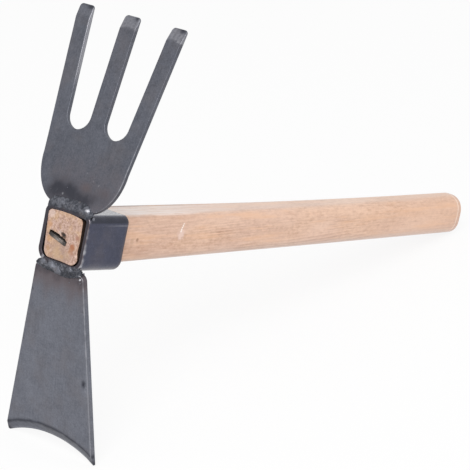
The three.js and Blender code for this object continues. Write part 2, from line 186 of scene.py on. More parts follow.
def waves(places, lengths, seed):
    """A smooth uneven value near -1 to 1: the sum of sines of random directions, one per length,
    over the root of their number. A single row of numbers gives places along a line."""
    random = np.random.default_rng(seed)
    if places.ndim == 1:
        places = places[:, None]
    total = 0
    for length in lengths:
        way = random.normal(size=places.shape[-1])
        way *= 2 * math.pi / (length * np.linalg.norm(way))
        total = total + np.sin(places @ way + random.uniform(0, 2 * math.pi))
    return total / math.sqrt(len(lengths))


def eased(value, low, high):
    """0 below low, 1 above high and 3s^2 - 2s^3 of the share s between them."""
    share = np.clip((value - low) / (high - low), 0, 1)
    return share * share * (3 - 2 * share)


def bell(offset):
    """exp(-offset^2)."""
    return np.exp(-offset ** 2)


def near_spot(places, middle, size):
    """A bell of the distance from a spot: exp(-(distance / size)^2)."""
    return np.exp(-(((places - middle) / size) ** 2).sum(-1))


def spots(places, table):
    """The bell of each spot in a table of middles, half sizes and strengths."""
    return [near_spot(places, middle, size) * strength for middle, size, strength in table]


def dabs(places, count, sizes, seed):
    """An uneven value with a spread of 1: the sum of bells of random place, size and height."""
    random = np.random.default_rng(seed)
    low, high = places.min(0), places.max(0)
    total = np.zeros(len(places))
    for _ in range(count):
        middle = random.uniform(low, high)
        total += random.normal() * near_spot(places, middle, random.uniform(*sizes))
    return total / total.std()


def highest(*fields):
    """The largest of the fields at each place."""
    return np.maximum.reduce(np.broadcast_arrays(*fields))


def rounded_outline(corners, step):
    """A closed outline through (x, y, radius) corners. An arc of each corner's radius touches both
    of its sides: its middle lies on the half-angle line at radius / sin(half angle)."""
    places = corners[:, :2]
    parts = []
    for i, (here, radius) in enumerate(zip(places, corners[:, 2])):
        if radius == 0:
            parts.append(here[None])
            continue
        back = places[i - 1] - here
        ahead = places[(i + 1) % len(places)] - here
        back /= np.linalg.norm(back)
        ahead /= np.linalg.norm(ahead)
        half_angle = math.acos(np.clip(back @ ahead, -1, 1)) / 2
        inward = (back + ahead) / np.linalg.norm(back + ahead)
        middle = here + inward * radius / math.sin(half_angle)
        spoke = here + back * radius / math.tan(half_angle) - middle
        sweep = math.pi - 2 * half_angle
        if back[0] * ahead[1] - back[1] * ahead[0] > 0:
            sweep = -sweep
        turn = np.linspace(0, sweep, max(4, math.ceil(abs(sweep) * radius / (step / 3))) + 1)
        parts.append(middle + stacked(*turned(*spoke, turn)))
    return refined(np.vstack(parts), step)


def refined(outline, step):
    """The closed outline with every side cut into equal parts no longer than the step."""
    sides = np.roll(outline, -1, 0) - outline
    counts = np.maximum(1, np.ceil(np.linalg.norm(sides, axis=1) / step)).astype(int)
    which = np.repeat(np.arange(len(outline)), counts)
    first = np.cumsum(counts) - counts
    share = (np.arange(counts.sum()) - first[which]) / counts[which]
    return outline[which] + sides[which] * share[:, None]


def inward_of(outline):
    """The unit direction into a closed outline that turns anticlockwise, at each of its points."""
    along = np.roll(outline, -1, 0) - np.roll(outline, 1, 0)
    along /= np.linalg.norm(along, axis=1)[:, None]
    return stacked(-along[:, 1], along[:, 0])


def within(points, outline):
    """True where a level line from the point crosses the closed outline an odd number of times."""
    ends = np.roll(outline, -1, 0)
    low, high = outline[:, 1], ends[:, 1]
    level = points[:, 1:]
    spans = (low > level) != (high > level)
    rise = np.where(high == low, 1, high - low)
    crossing = outline[:, 0] + (level - low) / rise * (ends - outline)[:, 0]
    return (spans & (points[:, :1] < crossing)).sum(1) % 2 == 1


def clearance(points, others):
    """The distance from each point to the nearest of the others, worked out in batches."""
    return np.concatenate([
        np.sqrt(((points[start:start + BATCH, None] - others) ** 2).sum(-1).min(1))
        for start in range(0, len(points), BATCH)
    ])


def spread_within(outline, step, keep_off):
    """Staggered rows of points, a step apart, inside the outline and clear of the points in
    keep_off."""
    low, high = outline.min(0), outline.max(0)
    rows = np.arange(low[1], high[1], step * 0.87)
    x, y = np.meshgrid(np.arange(low[0], high[0], step), rows)
    x = x + (np.arange(len(rows)) % 2)[:, None] * step / 2
    points = stacked(x, y).reshape(-1, 2)
    points = points[within(points, outline)]
    return points[clearance(points, keep_off) > step * 0.62]


def filled(outline, inside, lines=(), hole=None):
    """Triangles between an outline, points inside it, open lines and a hole: a Delaunay filling of
    them all, without the triangles whose middle lies outside the outline or in the hole."""
    loops = [outline] if hole is None else [outline, hole]
    parts = [*loops, *lines, inside]
    points = np.vstack(parts)
    sides = []
    start = 0
    for number, part in enumerate(parts[:-1]):
        index = np.arange(len(part)) + start
        ahead = np.roll(index, -1) if number < len(loops) else index[1:]
        sides += list(zip(index.tolist(), ahead.tolist()))
        start += len(part)
    made = delaunay_2d_cdt([Vector(point) for point in points], sides, [], 0, 1e-7)
    back = np.array([source[0] for source in made[3]])
    triangles = back[np.array(made[2])]
    middles = points[triangles].mean(1)
    keep = within(middles, outline)
    if hole is not None:
        keep &= ~within(middles, hole)
    return triangles[keep]


def grid_faces(rows, columns, round_rows=False):
    """Four-sided faces of a grid of points, row by row. Each row is closed, and so are the columns
    where round_rows says so."""
    row = np.arange(rows if round_rows else rows - 1)[:, None]
    column = np.arange(columns)
    here, after = row * columns, (row + 1) % rows * columns
    ahead = (column + 1) % columns
    return stacked(here + column, here + ahead, after + ahead, after + column).reshape(-1, 4)


def capped_tube(rings):
    """Points and faces of rings in a row, with a point in the middle of each end."""
    rows, columns = rings.shape[:2]
    points = np.vstack([rings.reshape(-1, 3), rings[0].mean(0), rings[-1].mean(0)])
    here = np.arange(columns)
    ahead = (here + 1) % columns
    count, last = rows * columns, (rows - 1) * columns
    ends = [stacked(count, ahead, here), stacked(count + 1, last + here, last + ahead)]
    return points, [grid_faces(rows, columns), *ends]


def section_pattern(bend_steps, run_steps):
    """Once round a rounded rectangle: the shares (across, upwards) that place the middle of the
    bend, and the angle on the bend. On a straight side the shares move and the angle stays."""
    corners = np.array([(1, -1), (1, 1), (-1, 1), (-1, -1)])
    bend = np.linspace(0, 1, bend_steps + 1)
    run = np.linspace(0, 1, run_steps + 1)[1:-1]
    parts = []
    for quarter, corner in enumerate(corners):
        side = corner + (corners[(quarter + 1) % 4] - corner) * run[:, None]
        parts.append(stacked(*corner, (quarter - 1 + bend) * QUARTER))
        parts.append(stacked(*side.T, quarter * QUARTER))
    return np.vstack(parts).T


def rounded_section(width, height, radii, pattern):
    """(share (size / 2 - radius) + radius cos or sin of the angle) in each direction. The radius
    goes evenly from that of the upper corners to that of the lower ones down the sides."""
    across, upwards, angle = pattern
    radius = radii[0] + (radii[1] - radii[0]) * (1 - upwards) / 2
    return stacked(
        across * (width / 2 - radius) + radius * np.cos(angle),
        upwards * (height / 2 - radius) + radius * np.sin(angle),
    )


def make_piece(name, node, material, points, faces, fields, crease=None):
    """A closed mesh in metres where the tool stands, its finish and its painted fields. Edges
    between two points of the crease stay sharp."""
    mesh = bpy.data.meshes.new(name)
    mesh.from_pydata(standing(points).tolist(), [], [f for part in faces for f in part.tolist()])
    shell = bmesh.new()
    shell.from_mesh(mesh)
    bmesh.ops.recalc_face_normals(shell, faces=shell.faces)
    shell.to_mesh(mesh)
    shell.free()
    mesh.polygons.foreach_set("use_smooth", np.ones(len(mesh.polygons), bool))
    for field, values in fields.items():
        kind, entry = ("FLOAT_VECTOR", "vector") if values.ndim == 2 else ("FLOAT", "value")
        layer = mesh.attributes.new(field, kind, "POINT")
        layer.data.foreach_set(entry, values.ravel().astype(np.float32))
    if crease is not None:
        ends = np.empty(len(mesh.edges) * 2, np.int32)
        mesh.edges.foreach_get("vertices", ends)
        layer = mesh.attributes.new("sharp_edge", "BOOLEAN", "EDGE")
        layer.data.foreach_set("value", crease[ends[0::2]] & crease[ends[1::2]])
    mesh.materials.append(material)
    mesh.update()
    piece = added(name, mesh)
    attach(piece, "root")
    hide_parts(node)
    return piece


def added(name, data):
    """A new object in the scene."""
    piece = bpy.data.objects.new(name, data)
    bpy.context.scene.collection.objects.link(piece)
    return piece


# Finishes


class Wire:
    """A value on its way through a finish. Sums on it add Math nodes."""

    def __init__(self, paint, socket):
        self.paint = paint
        self.socket = socket

    def maths(self, operation, first, second):
        return self.paint.node("ShaderNodeMath", {"operation": operation}, {0: first, 1: second})

    def __add__(self, other):
        return self.maths("ADD", self, other)

    def __radd__(self, other):
        return self.maths("ADD", other, self)

    def __sub__(self, other):
        return self.maths("SUBTRACT", self, other)

    def __rsub__(self, other):
        return self.maths("SUBTRACT", other, self)

    def __mul__(self, other):
        return self.maths("MULTIPLY", self, other)

    def __rmul__(self, other):
        return self.maths("MULTIPLY", other, self)

    def __truediv__(self, other):
        return self.maths("DIVIDE", self, other)

    def __pow__(self, other):
        return self.maths("POWER", self, other)


def swings(*parts):
    """The sum of (noise - 0.5) weight over pairs of a noise and its weight."""
    return sum((noise - 0.5) * weight for noise, weight in parts)


class Paint:
    """A material under way: its nodes, and the few mixtures that the finishes share."""

    def __init__(self, owner):
        self.owner = owner
        owner.use_nodes = True
        self.tree = owner.node_tree
        self.tree.nodes.clear()

    def node(self, kind, settings, values, out=0):
        """A node with its settings, then the values or wires of its sockets."""
        made = self.tree.nodes.new(kind)
        for name, setting in settings.items():
            setattr(made, name, setting)
        for name, value in values.items():
            if isinstance(value, Wire):
                self.tree.links.new(value.socket, made.inputs[name])
            else:
                made.inputs[name].default_value = value
        return Wire(self, made.outputs[out]) if made.outputs else None

    def field(self, name, out="Fac"):
        return self.node("ShaderNodeAttribute", {"attribute_name": name}, {}, out)

    def vector(self, operation, first, second, out=0):
        settings = {"operation": operation}
        return self.node("ShaderNodeVectorMath", settings, {0: first, 1: second}, out)

    def axes(self, place):
        """The three coordinates of a place."""
        split = self.node("ShaderNodeSeparateXYZ", {}, {"Vector": place}).socket.node
        return [Wire(self, socket) for socket in split.outputs]

    def noise(self, place, scale, detail=3.0, roughness=0.55, warp=0.0, shift=None):
        """Noise round 0.5. A scale of three numbers stretches it, and a shift moves it."""
        if shift:
            place = self.vector("ADD", place, shift)
        if isinstance(scale, tuple):
            place, scale = self.vector("MULTIPLY", place, scale), 1.0
        return self.node("ShaderNodeTexNoise", {}, {
            "Vector": place, "Scale": scale, "Detail": detail,
            "Roughness": roughness, "Distortion": warp,
        })

    def between(self, value, low, high, to_low=0.0, to_high=1.0):
        """to_low below low, to_high above high and a smooth step between them."""
        return self.node("ShaderNodeMapRange", {"interpolation_type": "SMOOTHSTEP"}, {
            "Value": value, "From Min": low, "From Max": high,
            "To Min": to_low, "To Max": to_high,
        })

    def coats(self, colour, *coats):
        """The colour under coats of (share, colour), each laid over the one before."""
        def shade(value):
            return (*value, 1) if isinstance(value, tuple) else value
        for share, coat in coats:
            colour = self.node(
                "ShaderNodeMix", {"data_type": "RGBA", "blend_type": "MIX", "clamp_factor": True},
                {0: share, 6: shade(colour), 7: shade(coat)}, 2,
            )
        return colour

    def stains(self, lay, table):
        """Coats for round stains. A stain is a smooth step of the distance from its middle,
        blurred by noise of its own size."""
        blur = self.noise(lay, 0.6, 4.0)
        coats = []
        for middle, radius, shade, strength in table:
            near = self.vector("DISTANCE", lay, middle, "Value") + (blur - 0.5) * radius * 1.2
            coats.append((self.between(near, radius * 0.35, radius, 1.0, 0.0) * strength, shade))
        return coats

    def finish(self, height, bump_distance, values):
        """The finished material, with a bump of the given height."""
        bump = self.node(
            "ShaderNodeBump", {}, {"Height": height, "Distance": bump_distance, "Strength": 1.0},
        )
        surface = self.node("ShaderNodeBsdfPrincipled", {}, {**values, "Normal": bump})
        self.node("ShaderNodeOutputMaterial", {}, {"Surface": surface})
        return self.owner


def black_steel(name, dark, light, sheen=0.0):
    """Rolling and forging scale: fine mottle, faint clouds and faint streaks along the plate, with
    a few rusty specks. Fields say where it is browned, scorched black, and bare; the scorch field
    also carries painted shade and the bare field painted highlights."""
    paint = Paint(bpy.data.materials.new(name))
    lay = paint.field("lay", "Vector")
    bare_and_highlight, brown, scorch_and_shade = map(paint.field, ("bare_and_highlight", "brown", "scorch_and_shade"))
    clouds = paint.noise(lay, 0.05, 4.0, 0.6, 0.6)
    mottle = paint.noise(lay, 0.3, 6.0, 0.66)
    grains = paint.noise(lay, 0.95, 4.0, 0.7)
    specks = paint.noise(lay, 2.3, 4.0, 0.7)
    streaks = paint.noise(lay, (0.9, 0.045, 0.9), 4.0, 0.6)
    warmth = paint.noise(lay, 0.07, shift=(40, 9, 3))
    chips = paint.noise(lay, 1.1, 5.0, 0.7, shift=(7, 70, 17))
    rusty = paint.noise(lay, 0.8, 5.0, 0.7, shift=(3, 21, 5))
    tone = 0.5 + swings(
        (clouds, 0.6), (mottle, 0.7), (grains, 0.9), (streaks, 0.35), (specks, 0.5))
    patchy = swings((clouds, 0.5), (mottle, 0.8), (grains, 0.4))
    browned = paint.between(brown + (mottle - 0.5) * 0.5, 0.08, 1.0)
    blackened_and_shaded = paint.between(scorch_and_shade + patchy * paint.between(scorch_and_shade, 0.0, 0.3), -0.05, 1.0)
    worn_and_highlight = paint.between(bare_and_highlight + (chips - 0.5) * 0.45, 0.12, 1.0)
    rust = paint.between(rusty, 0.66, 0.78) * 0.25
    height = swings((clouds, 0.3), (mottle, 0.3), (grains, 0.3), (specks, 0.2), (worn_and_highlight, -0.1))
    rougher = swings((mottle, 0.25), (specks, 0.15)) - worn_and_highlight * 0.08 + rust * 0.3
    return paint.finish(height, 0.00022, {
        "Base Color": paint.coats(
            dark,
            (paint.between(tone, 0.0, 1.0), light),
            (paint.between(warmth, 0.42, 0.7) * 0.2, (0.16, 0.135, 0.13)),
            (browned * 0.85, (0.135, 0.098, 0.098)),
            (blackened_and_shaded * 0.88, (0.036, 0.038, 0.05)),
            (worn_and_highlight, (0.36, 0.36, 0.39)),
            (rust, (0.2, 0.11, 0.07)),
        ),
        "Metallic": 0.85,
        "Roughness": 0.48 - sheen * 0.24 + rougher,
        "Coat Weight": sheen * (0.08 + worn_and_highlight * 0.6) * (1 - blackened_and_shaded),
        "Coat Roughness": 0.2,
    })


def weld_metal(name, grit):
    """Weld bead: dark scale in the hollows, grey on the high places, a few bright specks and a
    faint straw tint. The grit is how strongly the specks stand out. The shine field marks painted
    highlights, spots that are bright all over."""
    paint = Paint(bpy.data.materials.new(name))
    lay = paint.field("lay", "Vector")
    high, shine = map(paint.field, ("high", "shine"))
    mottle = paint.noise(lay, 0.45, 6.0, 0.7)
    specks = paint.noise(lay, 0.9, 4.0, 0.7)
    tint = paint.noise(lay, 0.22, shift=(11, 5, 2))
    tone = paint.between(high * 0.9 + swings((mottle, 1.4), (specks, grit)), 0.0, 0.9)
    bright = paint.between(shine + high * 0.4 + (specks - 0.5) * grit, 0.6, 1.15)
    return paint.finish(mottle * 0.5 + specks * 0.5, 0.00034, {
        "Base Color": paint.coats(
            (0.042, 0.045, 0.056),
            (tone, (0.175, 0.181, 0.21)),
            (paint.between(tint, 0.5, 0.72) * 0.3, (0.15, 0.115, 0.1)),
            (bright, (0.62, 0.62, 0.66)),
        ),
        "Metallic": 0.85,
        "Roughness": 0.46 + (mottle - 0.5) * 0.4 - bright * 0.15,
    })


# Middle, radius, colour and strength of each dark spot towards an end of the wedge's face
WEDGE_DARK_SPOTS = [((5.4, 0.5, -0.5), 3.6, (0.045, 0.042, 0.042), 0.85),
                ((-5.8, 0.4, -0.5), 2.7, (0.05, 0.046, 0.045), 0.85)]

# Middle, radius, colour and strength of each stain in the end grain
END_STAINS = [
    ((0.0, 0.0, -9.0), 10.0, (0.33, 0.225, 0.18), 0.6),
    ((0.0, 9.3, -8.0), 2.2, (0.4, 0.22, 0.11), 0.65),
    ((0.0, 6.0, -11.0), 1.9, (0.38, 0.21, 0.12), 0.55),
    ((0.0, -1.5, -10.4), 1.8, (0.42, 0.25, 0.12), 0.55),
    ((0.0, -4.0, -6.5), 1.5, (0.38, 0.22, 0.15), 0.5),
    ((0.0, -5.2, 6.5), 1.6, (0.42, 0.25, 0.19), 0.5),
    ((0.0, -8.0, -3.4), 2.8, (0.33, 0.11, 0.04), 0.95),
    ((0.0, 10.9, 5.0), 2.4, (0.5, 0.25, 0.12), 0.6),
    ((0.0, 9.8, -3.0), 2.6, (0.5, 0.27, 0.12), 0.6),
    ((0.0, 2.5, -9.3), 4.5, (0.6, 0.4, 0.2), 0.4),
    ((0.0, -10.6, 2.4), 2.1, (0.3, 0.14, 0.1), 0.9),
    ((0.0, -8.3, -7.2), 2.2, (0.36, 0.2, 0.17), 0.6),
    ((0.0, 10.6, 11.0), 3.2, (0.72, 0.58, 0.52), 0.5),
    ((0.0, 4.5, 4.1), 1.3, (0.28, 0.16, 0.14), 0.7),
    ((0.0, 2.6, 2.4), 1.6, (0.5, 0.42, 0.38), 0.7),
    # These two near-black spots are painted shade in the pit.
    ((0.0, 0.9, 1.7), 1.7, (0.03, 0.016, 0.01), 1.0),
    ((0.0, -0.6, 1.0), 2.0, (0.03, 0.016, 0.01), 1.0),
    ((0.0, -12.2, -7.3), 1.3, (0.75, 0.58, 0.5), 0.7),
    ((0.0, -7.2, -5.8), 2.6, (0.34, 0.15, 0.07), 0.7),
]

# The same on the handle's near side, for a small knot, a scuff and the scratch above it
SIDE_MARKS = [
    ((48.1, -12.4, -0.2), 1.5, (0.3, 0.15, 0.08), 0.8),
    ((44.0, -12.4, -0.8), 2.2, (0.5, 0.29, 0.18), 0.5),
    ((87.0, -12.4, 1.2), 4.2, (0.82, 0.63, 0.57), 0.6),
    *(((86.3 + 0.4 * step, -12.4, 3.2 + 1.1 * step), 0.75, (1.0, 0.94, 0.9), 0.75)
      for step in range(5)),
]


def wedge_steel():
    """Dull strip steel with a hammered face and light rust."""
    paint = Paint(bpy.data.materials.new("wedge_steel"))
    lay = paint.field("lay", "Vector")
    mottle = paint.noise(lay, 0.4, 5.0, 0.7)
    specks = paint.noise(lay, 3.5, 4.0, 0.7)
    tone = paint.between(mottle + (specks - 0.5) * 0.5, 0.36, 0.66)
    rust = paint.between(paint.noise(lay, 0.9, 5.0, 0.7, shift=(5, 3, 1)), 0.52, 0.7) * 0.4
    return paint.finish(mottle * 0.6 + specks * 0.3, 0.0003, {
        "Base Color": paint.coats(
            (0.1, 0.089, 0.083),
            (tone, (0.31, 0.28, 0.265)),
            (rust, (0.24, 0.14, 0.09)),
            *paint.stains(lay, WEDGE_DARK_SPOTS),
        ),
        "Metallic": 0.8,
        "Roughness": 0.5 + (mottle - 0.5) * 0.3 + rust * 0.2,
    })


def handle_wood():
    """Pale hardwood. Growth rings are shares of the distance to a pith that lies outside the
    handle and slants along it, so that the lines run out through the sides. Fibres, short pores
    and flecks are drawn out along the handle. The cut end is darker and granular."""
    paint = Paint(bpy.data.materials.new("handle_wood"))
    between = paint.between
    lay = paint.field("lay", "Vector")
    cut, up = map(paint.field, ("cut", "up"))
    along, across, upright = paint.axes(lay)

    def grain(lengthwise, crosswise, detail=3.0, roughness=0.55):
        return paint.noise(lay, (lengthwise, crosswise, crosswise), detail, roughness)

    drift = grain(0.006, 0.05, 2.0, 0.5)
    off_pith = upright + 46.0 - along * 0.03 + (drift - 0.5) * 6.0
    beside_pith = across + 23.0 + (drift - 0.5) * 4.0
    reach = (off_pith * off_pith + beside_pith * beside_pith) ** 0.5
    year = (reach + (grain(0.02, 0.3, 3.0, 0.5) - 0.5) * 1.4) / 1.7
    season = paint.node("ShaderNodeMath", {"operation": "FRACT"}, {0: year})
    late = between(season, 0.3, 0.9) * (1 - between(season, 0.92, 1.0))
    broad = grain(0.01, 0.09)
    strength = between(broad - upright * 0.012, 0.42, 0.75)
    fibres = grain(0.06, 0.95, 5.0, 0.68)
    hairs = grain(0.25, 5.0, 3.0, 0.6)
    flecks = grain(0.22, 0.5, 5.0, 0.72)
    pores = between(hairs + (fibres - 0.5) * 0.8, 0.66, 0.78)
    top = between(up, 0.7, 0.97)
    near_head = (1 - between(along, 35.0, 150.0)) * (1 - top * 1.6)
    # Painted shade: the underside is made a little darker and greyer.
    underneath = 1 - between(upright, -13.0, -4.0)
    shade = 0.57 + swings((fibres, 0.8), (grain(0.012, 0.05), 0.7), (flecks, 1.0), (hairs, 0.3))
    shade = shade - late * strength * 0.34 - near_head * 0.13 - underneath * 0.06
    # Painted highlight: the top near the head is lightened in streaks, and its coat is raised.
    polish_and_sheen = top * (1 - between(along, 60.0, 160.0))
    far_line = between(across, 5.0, 9.0) * between(up, 0.6, 0.75)
    far_line = far_line * (1 - between(along, 130.0, 300.0) * 0.4)
    # Painted highlight: a light line a little before the butt, with a band of painted shade after
    # it.
    butt_line = between(along, 391.4, 392.2) * (1 - between(along, 392.6, 393.4))
    # Painted shade: the tenon inside the eye is made nearly black.
    in_eye = between(along, 0.0, 0.4) * (1 - between(along, 32.0, 33.5))
    colour = paint.coats(
        (0.41, 0.207, 0.119),
        (between(shade, 0.05, 0.95), (0.79, 0.535, 0.39)),
        (between(grain(0.018, 0.05, 2.0), 0.35, 0.65) * 0.3, (0.7, 0.485, 0.4)),
        (between(grain(0.02, 0.22, 4.0), 0.5, 0.68) * 0.55, (0.74, 0.44, 0.27)),
        (between(along, 220.0, 380.0) * 0.3, (0.78, 0.47, 0.3)),
        (underneath * 0.4, (0.64, 0.49, 0.42)),
        (between(flecks, 0.58, 0.74) * 0.28, (0.57, 0.3, 0.17)),
        (pores * 0.22, (0.4, 0.22, 0.13)),
        (polish_and_sheen * between(grain(0.05, 0.6), 0.38, 0.6) * 0.45, (0.9, 0.82, 0.79)),
        (far_line * between(broad, 0.35, 0.5) * 0.8, (0.36, 0.31, 0.3)),
        *paint.stains(lay, SIDE_MARKS),
        (butt_line * 0.35, (0.95, 0.85, 0.8)),
        (between(along, 392.8, 394.2) * 0.4, (0.55, 0.37, 0.3)),
        (cut * 0.9, end_grain(paint, lay, late, hairs)),
        (in_eye * 0.95, (0.02, 0.013, 0.011)),
    )
    height = fibres * 0.3 + hairs * 0.25 + late * 0.15 - pores * 0.3
    return paint.finish(height, 0.0002, {
        "Base Color": colour,
        "Roughness": 0.36 + (fibres - 0.5) * 0.2 + cut * 0.35 + far_line * 0.4,
        "Specular IOR Level": 0.5,
        "Coat Weight": (0.35 + polish_and_sheen * 0.6) * (1 - cut) * (1 - far_line),
        "Coat Roughness": 0.3,
    })


def end_grain(paint, lay, late, hairs):
    """Salmon brown with yellow and brown patches, coarse grains and open pores."""
    grains = paint.noise(lay, 0.75, 5.0, 0.75)
    fine = paint.noise(lay, 2.0, 3.0, 0.7)
    yellow = paint.noise(lay, 0.16, shift=(0, 3, 8))
    brown = paint.noise(lay, 0.5, 4.0, 0.7, shift=(0, 31, 2))
    return paint.coats(
        (0.28, 0.165, 0.12),
        (paint.between(grains + (fine - 0.5) * 0.4, 0.36, 0.64), (0.6, 0.425, 0.36)),
        (late * 0.08, (0.4, 0.25, 0.18)),
        (paint.between(yellow, 0.45, 0.62) * 0.4, (0.6, 0.39, 0.2)),
        (paint.between(brown, 0.58, 0.7) * 0.55, (0.34, 0.18, 0.12)),
        (paint.between(hairs, 0.6, 0.72) * 0.4, (0.25, 0.14, 0.09)),
        *paint.stains(lay, END_STAINS),
    )


FORK_STEEL = black_steel("fork_steel", (0.07, 0.075, 0.093), (0.155, 0.162, 0.193))
HOE_STEEL = black_steel("hoe_steel", (0.108, 0.114, 0.138), (0.215, 0.224, 0.262))
EYE_STEEL = black_steel("eye_steel", (0.04, 0.044, 0.069), (0.085, 0.09, 0.134), 1.0)
SMOOTH_WELD = weld_metal("smooth_weld", 1.1)
GRITTY_WELD = weld_metal("gritty_weld", 2.1)
WEDGE_STEEL = wedge_steel()
HANDLE_WOOD = handle_wood()


# Plates


def plate_points(sheet, lean, setback, upwards):
    """(u, v, n) on a plate to tool millimetres. u runs across the tool, v climbs along the plate
    with x = v sin(lean) and z = v cos(lean) away from the eye, and n goes through the plate."""
    u, v, n = np.moveaxis(sheet, -1, 0)
    climb, back = turned(v, n, lean)
    return stacked(setback + back, upwards * u, upwards * (EYE_HALF + climb))


def foot_clearance(thickness, lean):
    """The height at which a leaning plate's foot stands clear of the eye by the seat gap."""
    return (SEAT_GAP + thickness * math.sin(lean)) / math.cos(lean)


# How strongly each ring of a plate's rim belongs to its front edge, its wall and its back edge
RIM_SHARES = {
    "front_edge": (0.45, 0.8, 1, 1, 1, 0.6, 0, 0, 0, 0, 0, 0, 0, 0, 0),
    "wall": (0, 0, 0, 0, 0, 0, 1, 1, 1, 0, 0, 0, 0, 0, 0),
    "back_edge": (0, 0, 0, 0, 0, 0, 0, 0, 0, 0.6, 1, 1, 1, 0.8, 0),
}


def plate_shell(outline, thickness, front, lines, edge_round):
    """A plate between its front surface n = front(u, v) and its flat back n = thickness. Its rim
    is carried round the outline: a quarter circle in from the front, a straight wall and a quarter
    circle to the back. Both faces are filled inside the rim. For the finish, the parts of the rim
    and how far each faces along +u are given too, and which points lie on the lines."""
    inward = inward_of(outline)
    turn = np.linspace(0, QUARTER, 5)
    near, far = edge_round * (1 - np.sin(turn)), edge_round * (1 - np.cos(turn))
    margin = edge_round + RIM_MARGIN
    inset = np.array([margin, *near, 0, 0, 0, *far, margin])[:, None]
    depth = np.array([0, *far, edge_round, edge_round, edge_round, *near, 0])[:, None]
    share = np.array([*np.zeros(6), 0.25, 0.5, 0.75, *np.ones(6)])[:, None]
    places = outline + inward * inset[..., None]
    face = front(places.reshape(-1, 2)).reshape(places.shape[:2])
    level = (face + depth) * (1 - share) + (thickness - depth) * share
    front_loop, back_loop = places[0], places[-1]
    inside = spread_within(front_loop, PLATE_STEP, np.vstack([front_loop, *lines]))
    front_places = np.vstack([*lines, inside])
    back_places = spread_within(back_loop, PLATE_STEP, back_loop)
    points = np.vstack([
        np.dstack([places, level]).reshape(-1, 3),
        np.column_stack([front_places, front(front_places)]),
        stacked(*back_places.T, thickness),
    ])
    count, ring_points = len(outline), level.size
    back_start = ring_points + len(front_places)
    front_index = np.r_[0:count, ring_points:back_start]
    back_index = np.r_[ring_points - count:ring_points, back_start:len(points)]
    faces = [
        grid_faces(len(level), count),
        front_index[filled(front_loop, inside, lines)][:, ::-1],
        back_index[filled(back_loop, back_places)],
    ]
    rest = (0, len(points) - ring_points)
    rim = {part: np.pad(np.repeat(shares, count), rest) for part, shares in RIM_SHARES.items()}
    rim["facing"] = np.pad(np.tile(-inward[:, 0], len(level)), rest)
    crease = np.zeros(len(points), bool)
    crease[ring_points:back_start - len(inside)] = True
    return points, faces, rim, crease


def crease_runs(line, outline):
    """The parts of a dense line that lie inside the outline and clear of it."""
    loop = outline + inward_of(outline) * CREASE_INSET
    keep = within(line, loop) & (clearance(line, loop) > CREASE_CLEARANCE)
    edges = np.flatnonzero(np.diff(np.concatenate([[0], keep.astype(int), [0]])))
    return [line[start:end] for start, end in zip(edges[0::2], edges[1::2]) if end - start > 3]


def weld_scorch(places, middle, rise, width, reach):
    """How strongly the weld scorched the plate: 1 beside the bead, dying out with the distance
    up the plate and, twice as fast, past the bead's ends, with an uneven edge."""
    past_end = np.maximum(0, np.abs(places[:, 0] - middle) - width / 2)
    away = np.hypot(np.maximum(0, places[:, 1] - rise), past_end * 2)
    return 1 - eased(away + 2.2 * waves(places, (23, 14, 9), 11), 0, reach)


def fork_outline():
    """The foot and shoulders are quarter ellipses, x = foot + reach sin a and y = height - rise
    cos a. Straight sides climb to the tips, and each slot ends in an arc between its two tines."""
    foot = foot_clearance(FORK_THICKNESS, FORK_LEAN)
    foot_half = FORK_FOOT_WIDTH / 2
    turn = np.linspace(0, QUARTER, 60)
    shoulder = stacked(
        foot_half + (FORK_SHOULDER_WIDTH / 2 - foot_half) * np.sin(turn),
        FORK_SHOULDER_HEIGHT - (FORK_SHOULDER_HEIGHT - foot) * np.cos(turn),
        0,
    )
    tip_half = FORK_TIP_WIDTH / 2
    inner_tip = tip_half - OUTER_TINE_TIP_WIDTH
    tine_half = MIDDLE_TINE_WIDTH / 2
    end = (tine_half + SLOT_END_RADIUS, SLOT_FLOOR_HEIGHT + SLOT_END_RADIUS)
    slant = math.atan2(inner_tip - end[0] - SLOT_END_RADIUS, FORK_HEIGHT - end[1])
    turn = -slant - np.linspace(0, 1, 48) * (math.pi - slant)
    slot = stacked(
        end[0] + SLOT_END_RADIUS * np.cos(turn), end[1] + SLOT_END_RADIUS * np.sin(turn), 0)
    tips = [(tip, FORK_HEIGHT, TINE_CORNER_RADIUS) for tip in (tip_half, inner_tip, tine_half)]
    right = np.vstack([shoulder, tips[:2], slot, tips[2:]])
    return rounded_outline(np.vstack([right, right[::-1] * [-1, 1, 1]]), OUTLINE_STEP)


def fork_crease(u):
    """The height at which the ground length of the tips starts: a level line, a little uneven."""
    return FORK_HEIGHT - TINE_GRIND_LENGTH + 0.22 * waves(u, (31, 13, 7), 3)


def fork_front(place):
    """A gentle unevenness of the sheet, and the straight slope of the ground tips."""
    sunk = FORK_THICKNESS - TINE_EDGE_THICKNESS
    ground = np.maximum(0, place[:, 1] - fork_crease(place[:, 0])) * sunk / TINE_GRIND_LENGTH
    return np.minimum(ground + 0.03 * (1 + waves(place, (45, 27, 17), 5)), sunk)


# Place across the tool and half width of the dark spots on the tips' edges
FORK_TIP_SPOTS = [(31.0, 2.4), (-3.2, 1.0), (-36.0, 2.2)]

# Middle, half size each way and strength of the darkest places above the weld
FORK_SCORCHES = [
    ((15.5, 6.0), (7.0, 4.0), 0.4), ((10.5, 10.0), (7.0, 4.5), 0.4),
    ((4.0, 12.0), (5.0, 4.0), 0.42), ((2.0, 8.0), (6.5, 4.0), 0.42),
    ((-3.0, 6.6), (6.0, 2.6), 0.35), ((-10.0, 8.4), (6.0, 3.4), 0.62),
    ((-20.0, 12.0), (6.0, 6.0), 0.2), ((18.0, 13.0), (7.0, 4.0), 0.2),
]
